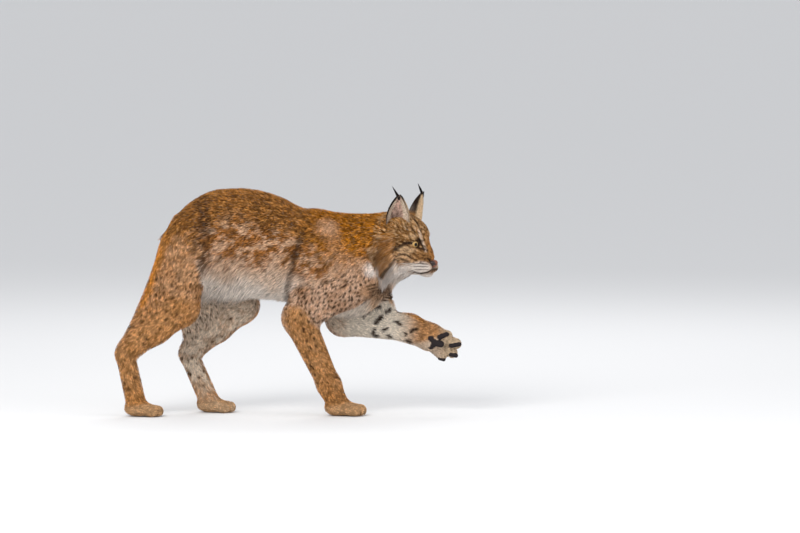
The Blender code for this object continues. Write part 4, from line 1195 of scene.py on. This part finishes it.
def tuft_mesh(name, arrays):
    """Tufts as one mesh: each a closed three-sided blade of a root ring, a middle ring and a tip."""
    root, middle, tip, side, out, width, thickness, root_colour, middle_colour, tip_colour, place = arrays
    n = len(root)
    half = side * (width / 2)[:, None]
    thick = out * (thickness / 2)[:, None]
    verts = np.empty((n, 7, 3))
    verts[:, 0], verts[:, 1], verts[:, 2] = root + half * 0.8, root + thick * 0.8, root - half * 0.8
    verts[:, 3], verts[:, 4], verts[:, 5] = middle + half, middle + thick, middle - half
    verts[:, 6] = tip
    mesh = bpy.data.meshes.new(name)
    mesh.vertices.add(n * 7)
    mesh.vertices.foreach_set("co", verts.ravel())
    base = (np.arange(n) * 7)[:, None, None]
    quads = (TUFT_FACES[None] + base).reshape(n, -1)
    tris = (TUFT_ENDS[None] + base).reshape(n, -1)
    loops = np.concatenate((quads, tris), axis=1).ravel()
    starts = np.concatenate((np.arange(3) * 4, 12 + np.arange(4) * 3))
    starts = (starts[None] + np.arange(n)[:, None] * 24).ravel()
    mesh.loops.add(len(loops))
    mesh.loops.foreach_set("vertex_index", loops.astype(np.int32))
    mesh.polygons.add(n * 7)
    mesh.polygons.foreach_set("loop_start", starts.astype(np.int32))
    mesh.update(calc_edges=True)
    colours = np.empty((n, 7, 3))
    colours[:, :3] = root_colour[:, None]
    colours[:, 3:6] = middle_colour[:, None]
    colours[:, 6] = tip_colour
    paint(mesh, colours.reshape(-1, 3))
    low = place[:, :2].min(0)
    span = np.maximum(place[:, :2].max(0) - low, 1e-6)
    spot = 0.003 + (place[:, :2] - low) / span * 0.991
    patch = np.array(((-1, -1), (0, -1), (1, -1), (-1, 0), (0, 0), (1, 0), (0, 1))) * 0.0015
    uv = (spot[:, None] + patch[None]).reshape(-1, 2)
    layer = mesh.uv_layers.new(name="OFBake")
    layer.data.foreach_set("uv", uv[loops].astype(np.float32).ravel())
    mesh.polygons.foreach_set("use_smooth", np.ones(n * 7, dtype=bool))
    mesh.materials.append(COAT_MATERIAL)
    obj = bpy.data.objects.new(name, mesh)
    HOME.objects.link(obj)
    return obj


def skin_samples(skin, rng):
    """Random places on the skin, as dense as the coat there asks."""
    mesh = skin.data
    mesh.calc_loop_triangles()
    tris = np.empty(len(mesh.loop_triangles) * 3, dtype=np.int32)
    mesh.loop_triangles.foreach_get("vertices", tris)
    corners = points_of(mesh)[tris.reshape(-1, 3)]
    first, second = corners[:, 1] - corners[:, 0], corners[:, 2] - corners[:, 0]
    area = np.linalg.norm(np.cross(first, second), axis=1) / 2
    value, _, sizes, _, _ = coat_at(corners.mean(1))
    wanted = area / sizes[:, 3] ** 2 * DENSITY
    wanted[value < -sizes[:, 0] - 0.004] = 0
    count = np.floor(wanted + rng.random(len(wanted))).astype(int)
    chosen = np.repeat(np.arange(len(corners)), count)
    a, b = rng.random(len(chosen)), rng.random(len(chosen))
    flip = a + b > 1
    a[flip], b[flip] = 1 - a[flip], 1 - b[flip]
    return corners[chosen, 0] + first[chosen] * a[:, None] + second[chosen] * b[:, None]


def lifted_to(points, target, longest):
    """Moves points along the slope until they lie at the target distance from the coat's surface."""
    for _ in range(2):
        value, slope = slope_of(points, FORMS)
        move = ((target - value) / np.maximum((slope**2).sum(1), 0.2))[:, None] * slope
        far = np.linalg.norm(move, axis=1)
        points = points + move * np.minimum(1, longest / np.maximum(far, 1e-9))[:, None]
    return points


def chart(points, weights):
    """A place on an unwrap of the skin, along and round the trunk, the head or a leg, and its order."""
    kind = np.argmax(weights, axis=0)
    head = kind == ROW["head"]
    leg = np.isin(kind, [ROW[k] for k in ("arm", "forearm", "thigh", "shank", "paw", "pad")])
    x, y, z = points.T
    rear, left = x < -0.1, y > 0.005
    centre_x = np.where(rear, np.where(left, -0.24, -0.37), np.where(left, 0.16 + 0.6 * (0.3 - z), 0.06))
    round_leg = np.arctan2(y - np.where(left, 0.062, -0.062), x - centre_x)
    round_trunk = np.arctan2(y, z - TRUNK_FORM.section(x)[0])
    forward, across, up = in_head(points).T
    u = np.where(head, forward, np.where(leg, z, x))
    v = np.where(head, np.arctan2(across, up + 0.02), np.where(leg, round_leg, round_trunk))
    number = np.where(head, 9, np.where(leg, 1 + 2 * rear + left, 0))
    return np.stack((u, v, number * 10 + u), axis=1)


def make_coat(skin, rng):
    """The coat over the whole skin, but for eyes, nose, pads and the soles on the floor."""
    root = skin_samples(skin, rng)
    _, weights, sizes, lie, head = coat_at(root)
    out = unit(slope_of(root, FORMS)[1])
    near_eye = np.min([np.linalg.norm(root - on_head(EYE_PLACE, side), axis=1) for side in (1, -1)], axis=0)
    nose = np.linalg.norm(head - NOSE_PLACE, axis=1)
    keep = (near_eye > EYE_RADIUS + 0.0012) & (nose > 0.0125) & (weights[ROW["pad"]] < 0.40)
    keep &= ~((root[:, 2] < 0.0035) & (out[:, 2] < -0.5))
    root, sizes, lie, head, out, weights = (a[keep] for a in (root, sizes, lie, head, out, weights.T))
    count = len(root)
    depth, length, width, _, over = sizes.T

    under = smoothstep(0.1, -0.7, out[:, 2]) * weights[:, BODY_ROWS].sum(1)
    fold = under * smoothstep(-0.31, -0.25, root[:, 0]) * smoothstep(-0.10, -0.17, root[:, 0])
    length = length * (1 + 0.45 * under) * (1 + 1.1 * fold) * rng.uniform(0.75, 1.2, count)
    over = over + 0.005 * under + 0.012 * fold
    lie = unit(lie) + 0.55 * swirl(root, 0.035, 30) + 0.50 * swirl(root, 0.009, 36)
    lie = flattened(lie + 0.10 * rng.normal(size=(count, 3)), out)
    lie = unit(lie - (0.5 * under + 0.9 * fold)[:, None] * (0, 0, 1))

    tip = root + lie * length[:, None] + out * depth[:, None]
    middle = root + lie * (length * 0.45)[:, None] + out * (depth * 0.7)[:, None]
    rise = over * rng.uniform(-0.6, 1.2, count) - 0.15 * depth
    tip = lifted_to(tip, rise, 0.014)
    middle = lifted_to(middle, -0.42 * depth, 0.010)
    for points in (tip, middle):
        points[:, 2] = np.maximum(points[:, 2], FLOOR_CLEARANCE)
    sunk = root - out * np.minimum(0.0015, depth * 0.5)[:, None]
    side = unit(np.cross(lie, out))

    tip_value, tip_weights = coat_at(tip)[:2]
    clear = (tip_weights[ROW["pad"]] < 0.35) & (tip_value < rise + 0.002)
    arrays = (sunk, middle, tip, side, out, width, root, head, weights)
    sunk, middle, tip, side, out, width, root, head, weights = (a[clear] for a in arrays)
    weights, count = weights.T, len(root)
    ground = colour_at(middle, out, weights, head)
    far = colour_at(tip, out, weights, in_head(tip))
    shade = rng.uniform(0.68, 1.34, count)[:, None]
    front = weights[ROW["head"]] * smoothstep(-0.045, -0.015, head[:, 0])
    strength = (0.9 - 0.62 * smoothstep(0.22, 0.55, far.mean(1))) * (1 - 0.55 * front)
    strength *= 1 - 0.5 * weights[ROW["arm"]]
    clump = 1 + strength * (smoothstep(0.25, 0.75, noise(tip, 0.0050, 50)) - 0.5)
    lit = shade * clump[:, None]
    flank = np.clip(weights[BODY_ROWS].sum(0), 0, 1)
    dark_tip = (rng.random(count) < 0.17 * flank)[:, None]
    pale_tip = (rng.random(count) < 0.10 * flank + 0.03)[:, None]
    plain = far * lit
    tip_colour = np.where(dark_tip, plain * 0.45, np.where(pale_tip, plain * 0.7 + WHITE * 0.24, plain))
    # Roots at 0.62 of the ground colour: painted shade deep in the coat among the tufts.
    colours = (ground * (0.62 * shade), (0.35 * ground + 0.65 * far) * lit, tip_colour)
    sizes = (width, width * 0.55)
    return coat_meshes("coat", [(sunk, middle, tip, side, out, *sizes, *colours, chart(root, weights))])


def hair(root, out, lie, sizes, colour, rng, side, u, v):
    """Short hair that lies along a way and rises a little from its root: one part of a coat."""
    length, width, rise = sizes
    count = len(root)
    lie = flattened(lie, out)
    length = length * rng.uniform(0.7, 1.2, count)
    tip = root + lie * length[:, None] + out * rise
    middle = root + lie * (length * 0.5)[:, None] + out * (rise * 0.8)
    lit = colour * rng.uniform(0.6, 1.35, count)[:, None]
    widths = np.full(count, width)
    place = np.stack((u, v, 200.0 + side + v * 0.01), axis=1)
    sizes = (unit(np.cross(lie, out)), out, widths, widths * 0.6)
    # Roots at 0.7 and middles at 0.95 of the tip colour: painted shade deeper among the hairs.
    return root, middle, tip, *sizes, lit * 0.7, lit * 0.95, lit, place


def ear_coat(rng):
    """Short hair on the ear's back, long pale hair over its cup, and the black tuft at its tip."""
    parts = []
    scale = 1.0
    for side in (1, -1):
        _, tip_of_ear, up, faces, across = ear_frame(side)

        count = int(4400 * scale)
        t, s = rng.uniform(0.02, 0.97, count), rng.uniform(-1, 1, count)
        root, inward = ear_point(side, t, s)
        root = root - inward * (EAR_THICKNESS / 2 - 0.0004)
        lie = up + 0.25 * rng.normal(size=(count, 3))
        colour = ear_colour(t, s, np.zeros(count), side, root)
        sizes = (0.0085 * (1 - 0.3 * t), 0.0012, 0.0016)
        parts.append(hair(root, -inward, lie, sizes, colour, rng, side, t, s))

        count = int(2200 * scale)
        t, s = rng.uniform(0.06, 0.96, count), rng.uniform(-1, 1, count)
        root, inward = ear_point(side, t, s)
        root = root + inward * (EAR_THICKNESS / 2 - 0.0004)
        lie = up * 0.9 - across * (s * 0.5)[:, None] + 0.2 * rng.normal(size=(count, 3))
        colour = ear_colour(t, s, np.ones(count), side, root)
        parts.append(hair(root, inward, lie, (0.0105, 0.0011, 0.0026), colour, rng, side, t, s + 3))

        count = int(1500 * scale)
        t = rng.uniform(0.02, 0.80, count)
        edge = rng.random(count)
        s = np.where(edge < 0.75, -side, side) * rng.uniform(0.70, 1.0, count)
        root, inward = ear_point(side, t, s)
        root = root + inward * (EAR_THICKNESS / 2 - 0.0005)
        lie = up * 0.55 - across * (np.sign(s) * 0.9)[:, None] + 0.18 * rng.normal(size=(count, 3))
        colour = np.where((rng.random(count) < 0.75)[:, None], srgb(214, 196, 176), srgb(150, 122, 100))
        length = 0.018 * (1 - 0.6 * t) * rng.uniform(0.6, 1.2, count)
        parts.append(hair(root, inward, lie, (length, 0.0011, 0.0040), colour, rng, side, t, s + 6))

        count = int(1400 * scale)
        t, s = rng.uniform(0.0, 1.0, count), rng.choice((-1.0, 1.0), count)
        root, _ = ear_point(side, t, s)
        front = s * side < 0
        lie = up + across * (np.where(front, 0.25, 0.65) * s)[:, None] + 0.15 * rng.normal(size=(count, 3))
        rim = np.where(front[:, None], srgb(206, 180, 150), BLACK)
        rim = mixed(rim, (BLACK, smoothstep(0.70, 0.92, t)))
        parts.append(hair(root, across * s[:, None], lie, (0.0085, 0.0013, 0.0006), rim, rng, side, t, s + 9))

        count = int(420 * (1.0))
        down = rng.uniform(0, 0.009, count)
        spread = rng.normal(size=(count, 3)) * 0.0008
        root = tip_of_ear - up * down[:, None] + across * (rng.uniform(-0.30, 0.30, count) * down)[:, None]
        share = rng.uniform(0.45, 1.0, count)
        along = on_head(TUFT_TIP, side) - tip_of_ear
        tip = tip_of_ear + along * share[:, None] + spread * (1.3 - share)[:, None]
        middle = (root + tip) / 2 + faces * 0.0022 + spread * 0.6
        out = np.broadcast_to(faces, root.shape)
        widths = np.full(count, 0.0013)
        sizes = (unit(np.cross(tip - root, out)), out, widths, widths * 0.7)
        colour = BLACK * rng.uniform(0.6, 1.5, count)[:, None]
        place = np.stack((share, down * 60, np.full(count, 200.0 + side)), axis=1)
        parts.append((root, middle, tip, *sizes, colour, colour, colour, place))
    return coat_meshes("ear_coat", parts)


def ruff_locks(rng):
    """Long locks of the cheek ruff and the bib, laid in tiers over the coat."""
    parts = []
    count = 5200
    for side in (1, -1):
        t = rng.uniform(0, 1, count)
        tier = rng.uniform(0, 1, count)
        forward = -0.026 - 0.046 * tier + 0.016 * t
        start = from_head(np.stack((forward, side * 0.062 * (1 - 0.45 * t**2.5), 0.014 - 0.094 * t), axis=1))
        start = lifted_to(start, np.full(count, -0.006), 0.04)
        out = unit(slope_of(start, FORMS)[1])
        way = np.stack((-0.80 + 0.40 * t, np.full(count, side * 0.16), -0.45 - 0.75 * t), axis=1)
        length = 0.030 + 0.026 * np.sin(np.pi * np.minimum(1, t * 0.75 + 0.1))
        length = length * rng.uniform(0.6, 1.15, count)
        way = unit(way @ HEAD_AXES.T) + 0.5 * swirl(start, 0.010, 70) + 0.07 * rng.normal(size=(count, 3))
        way = flattened(way, out, 0.9)
        tip = lifted_to(start + way * length[:, None], rng.uniform(0.001, 0.008, count), 0.012)
        middle = start + way * (length * 0.45)[:, None] + out * 0.0035
        middle = lifted_to(middle, np.full(count, 0.0010), 0.006)
        colour, far = (ruff_corner(face_colour(in_head(p)), p, in_head(p)) for p in (start, tip))
        clump = noise(start, 0.0062, 71)
        pale, dark = 0.22 * smoothstep(0.58, 0.70, clump), 0.50 * smoothstep(0.40, 0.28, clump)
        far = mixed(far, (CREAM, pale), (DARK, dark))
        shade = rng.uniform(0.75, 1.35, count)[:, None]
        widths = rng.uniform(0.0016, 0.0026, count)
        sizes = (unit(np.cross(way, out)), out, widths, widths * 0.5)
        place = np.stack((t, tier, np.full(count, 10.0 + side)), axis=1)
        # Roots at 0.6 of the colour: painted shade under the locks.
        colours = (colour * 0.6 * shade, (colour + far) / 2 * shade, far * shade)
        parts.append((start, middle, tip, *sizes, *colours, place))
    return coat_meshes("ruff", parts)


def make_eye(side):
    """An eyeball with a clear bulge over an amber iris and a round pupil."""
    bm = bmesh.new()
    bmesh.ops.create_uvsphere(bm, u_segments=64, v_segments=48, radius=1.0)
    local = np.array([v.co for v in bm.verts])
    angle = np.degrees(np.arccos(np.clip(local[:, 2], -1, 1)))
    radius = EYE_RADIUS * (1 + 0.045 * smoothstep(46, 20, angle))
    points = on_head(EYE_PLACE, side) + (local * radius[:, None]) @ eye_axes(side)[:, [1, 2, 0]].T
    for vert, point in zip(bm.verts, points):
        vert.co = point
    eye = object_from(bm, "eyeball_left" if side == 1 else "eyeball_right")
    around = np.arctan2(local[:, 1], local[:, 0])
    grain = 0.5 + 0.5 * np.sin(around * 23) * np.sin(around * 9 + 1)
    colour = mixed(
        (184, 148, 92),
        ((122, 94, 54), 0.55 * grain),
        ((184, 156, 104), 0.5 * smoothstep(30, 22, angle)),
        (DARK * 0.5, smoothstep(40, 46, angle)),
        ((4, 4, 4), smoothstep(21, 18.5, angle)),
    )
    paint(eye.data, colour)
    dress(eye, material(eye.name, (0.3, 0.22, 0.08), 0.10, attribute=True, coat=0.15))
    return eye


# Nostril and the slit beside it: the middle of each, its reach each way and its depth
NOSTRIL_PITS = (
    ((0.0590, 0.0064, -0.0475), (0.0060, 0.0028, 0.0022), 1.0),
    ((0.0550, 0.0105, -0.0462), (0.0050, 0.0034, 0.0012), 0.8),
)


def make_nose():
    forms = [
        head_ball((0.0492, 0.0, -0.0445), (0.0090, 0.0098, 0.0078), 0.004),
        head_ball((0.0470, 0, -0.0500), (0.0072, 0.0058, 0.0072), 0.004),
    ]
    forms += [head_ball((0.0466, 0.0076, -0.0452), (0.0076, 0.0058, 0.0058), 0.004, side) for side in (-1, 1)]
    nose = remeshed("nose_leather", forms, 0.0007)
    points = points_of(nose.data)
    for _ in range(4):
        value, slope = slope_of(points, forms, 0.0003)
        points = points - value[:, None] * slope
    head = in_head(points)
    pit = np.zeros(len(points))
    for place, reach, depth in NOSTRIL_PITS:
        for side in (-1, 1):
            away = (head - np.array(place) * (1, side, 1)) / reach
            pit = np.maximum(pit, depth * np.exp(-(away**2).sum(1)))
    groove = np.exp(-((head[:, 1] / 0.0007) ** 2)) * smoothstep(-0.0445, -0.048, head[:, 2])
    _, slope = slope_of(points, forms, 0.0003)
    set_points(nose.data, points - unit(slope) * (pit * 0.0030 + groove * 0.0009)[:, None])
    colour = mixed(
        (126, 72, 50),
        ((46, 30, 26), smoothstep(0.0040, 0.0090, np.abs(head[:, 1]))),
        ((84, 52, 42), smoothstep(-0.0385, -0.0345, head[:, 2])),
        # Painted shade: the nostril pits near black, the groove and the underside of the nose dark.
        (BLACK * 0.6, np.clip(pit * 1.6, 0, 1)),
        ((60, 38, 32), np.maximum(groove, smoothstep(-0.053, -0.056, head[:, 2]))),
    )
    paint(nose.data, colour)
    grain = {"bump": 0.25, "bump_size": 900, "specular": 0.4}
    dress(nose, material("nose_leather", (0.4, 0.2, 0.15), 0.42, attribute=True, **grain))
    return nose


def make_whiskers(rng):
    """Whiskers from the rows on the lip and a few over the eyes."""
    bm = bmesh.new()
    for side in (1, -1):
        for row in range(4):
            for i in range(4):
                root = on_head((0.034 - 0.0085 * i, 0.029 + 0.0022 * i, -0.0500 - 0.0046 * row), side)
                root = lifted_to(root[None], np.array([-0.002]), 0.02)[0]
                way = (-0.35 - 0.28 * i, 0.80 - 0.12 * i, 0.10 - 0.24 * row + rng.uniform(-0.08, 0.08))
                whisker(bm, root, head_direction(way, side), rng.uniform(0.040, 0.062), (0, 0, -0.010))
        for i in range(3):
            root = on_head((0.006 - 0.004 * i, 0.026 + 0.004 * i, 0.019), side)
            way = head_direction((0.25 - 0.3 * i, 0.35 + 0.2 * i, 0.9), side)
            whisker(bm, root, way, rng.uniform(0.024, 0.036), (-0.012, 0, 0.0))
    obj = object_from(bm, "whiskers")
    dress(obj, material("whisker", srgb(232, 226, 218), 0.4))
    return obj


def whisker(bm, root, way, length, bend):
    side = np.cross(way, (0, 0, 1.0))
    side /= np.linalg.norm(side)
    up = np.cross(side, way)
    rings = []
    for share in (0, 0.25, 0.5, 0.75):
        middle = root + way * length * share + np.array(bend) * share**2
        radius = 0.00036 * (1 - share * 0.8)
        ring = [middle + (side * math.cos(a) + up * math.sin(a)) * radius for a in (0, 2.094, 4.189)]
        rings.append([bm.verts.new(p) for p in ring])
    end = bm.verts.new(root + way * length + np.array(bend))
    for lower, upper in zip(rings, rings[1:]):
        for i in range(3):
            bm.faces.new((lower[i], lower[(i + 1) % 3], upper[(i + 1) % 3], upper[i]))
    for i in range(3):
        bm.faces.new((rings[-1][i], rings[-1][(i + 1) % 3], end))
    bm.faces.new(rings[0][::-1])


# Assembly

rng = np.random.default_rng(SEED)
COAT_MATERIAL = material("coat", (0.5, 0.38, 0.25), 0.85, attribute=True)
SKIN_MATERIAL = material("skin", (0.5, 0.38, 0.25), 0.8, attribute=True, bump=0.4, bump_size=350)

skin = make_skin()
skin_points = points_of(skin.data)
_, skin_weights, skin_sizes, _, skin_head = coat_at(skin_points)
_, skin_slope = slope_of(skin_points, FORMS)
skin_out = unit(skin_slope)
skin_colour = colour_at(skin_points + skin_out * skin_sizes[:, :1], skin_out, skin_weights, skin_head)
# The skin at 0.8 of the coat's colour: painted shade under the coat.
paint(skin.data, skin_colour * 0.8)
ears = [make_ear(side) for side in (1, -1)]
for obj in [skin] + ears:
    dress(obj, SKIN_MATERIAL)

coat = make_coat(skin, rng) + ear_coat(rng) + ruff_locks(rng)
eyes = {side: make_eye(side) for side in (1, -1)}
nose = make_nose()
whiskers = make_whiskers(rng)

with bpy.context.temp_override(
    active_object=skin, object=skin, selected_objects=[skin] + ears, selected_editable_objects=[skin] + ears
):
    bpy.ops.object.join()
for obj in HOME.objects:
    set_points(obj.data, points_of(obj.data) + SHIFT)

LIMBS = ("foreleg_right", "foreleg_left", "hindleg_right", "hindleg_left")
FLESH = ["torso", "neck", "head", "ear_left", "ear_right", "tail"]
FLESH += [leg + part for leg in LIMBS for part in ("_upper", "_lower")]
FLESH += ["forepaw_left", "forepaw_right", "hindpaw_left", "hindpaw_right"]
for obj in HOME.objects:
    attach(obj, "root")
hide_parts(*FLESH)
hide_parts("eye_left")
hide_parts("eye_right")
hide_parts("nose")

# Floor, light and camera


def make_floor():
    bm = bmesh.new()
    bmesh.ops.create_grid(bm, x_segments=1, y_segments=1, size=FLOOR_HALF)
    floor = object_from(bm, "floor", bpy.context.scene.collection)
    floor.data.materials.append(material("floor", (0.74, 0.745, 0.755), 0.9))


# Lights: name, place, size, power and colour
LIGHTS = (
    ("key", (-1.4, -3.2, 2.7), 2.0, 130, (1.0, 0.98, 0.95)),
    ("fill", (3.2, -2.0, 1.4), 2.6, 35, (1.0, 0.99, 0.98)),
    ("back", (0.6, 3.0, 3.0), 2.2, 40, (1.0, 0.99, 0.98)),
)
LIT_PLACE = Vector((0.0, 0.0, 0.35))


def area_light(name, place, size, power, colour):
    data = bpy.data.lights.new(name, "AREA")
    data.size = size
    data.energy = power
    data.color = colour
    light = bpy.data.objects.new(name, data)
    light.location = place
    light.rotation_euler = (LIT_PLACE - Vector(place)).to_track_quat("-Z", "Y").to_euler()
    bpy.context.scene.collection.objects.link(light)


make_floor()
for light in LIGHTS:
    area_light(*light)
world = bpy.data.worlds.new("world")
bpy.context.scene.world = world
world.use_nodes = True
world.node_tree.nodes["Background"].inputs["Color"].default_value = (0.97, 0.98, 1.0, 1)
world.node_tree.nodes["Background"].inputs["Strength"].default_value = WORLD_STRENGTH
bpy.context.scene.view_settings.view_transform = "Standard"

camera = bpy.data.objects.new("camera", bpy.data.cameras.new("camera"))
camera.data.lens = 400
camera.data.sensor_width = 36
look = Vector((0, math.cos(VIEW_RISE), -math.sin(VIEW_RISE)))
camera.location = CAMERA_AIM + Vector(SHIFT) - look * CAMERA_DISTANCE
camera.rotation_euler = look.to_track_quat("-Z", "Y").to_euler()
camera.data.clip_end = 100
bpy.context.scene.collection.objects.link(camera)
bpy.context.scene.camera = camera
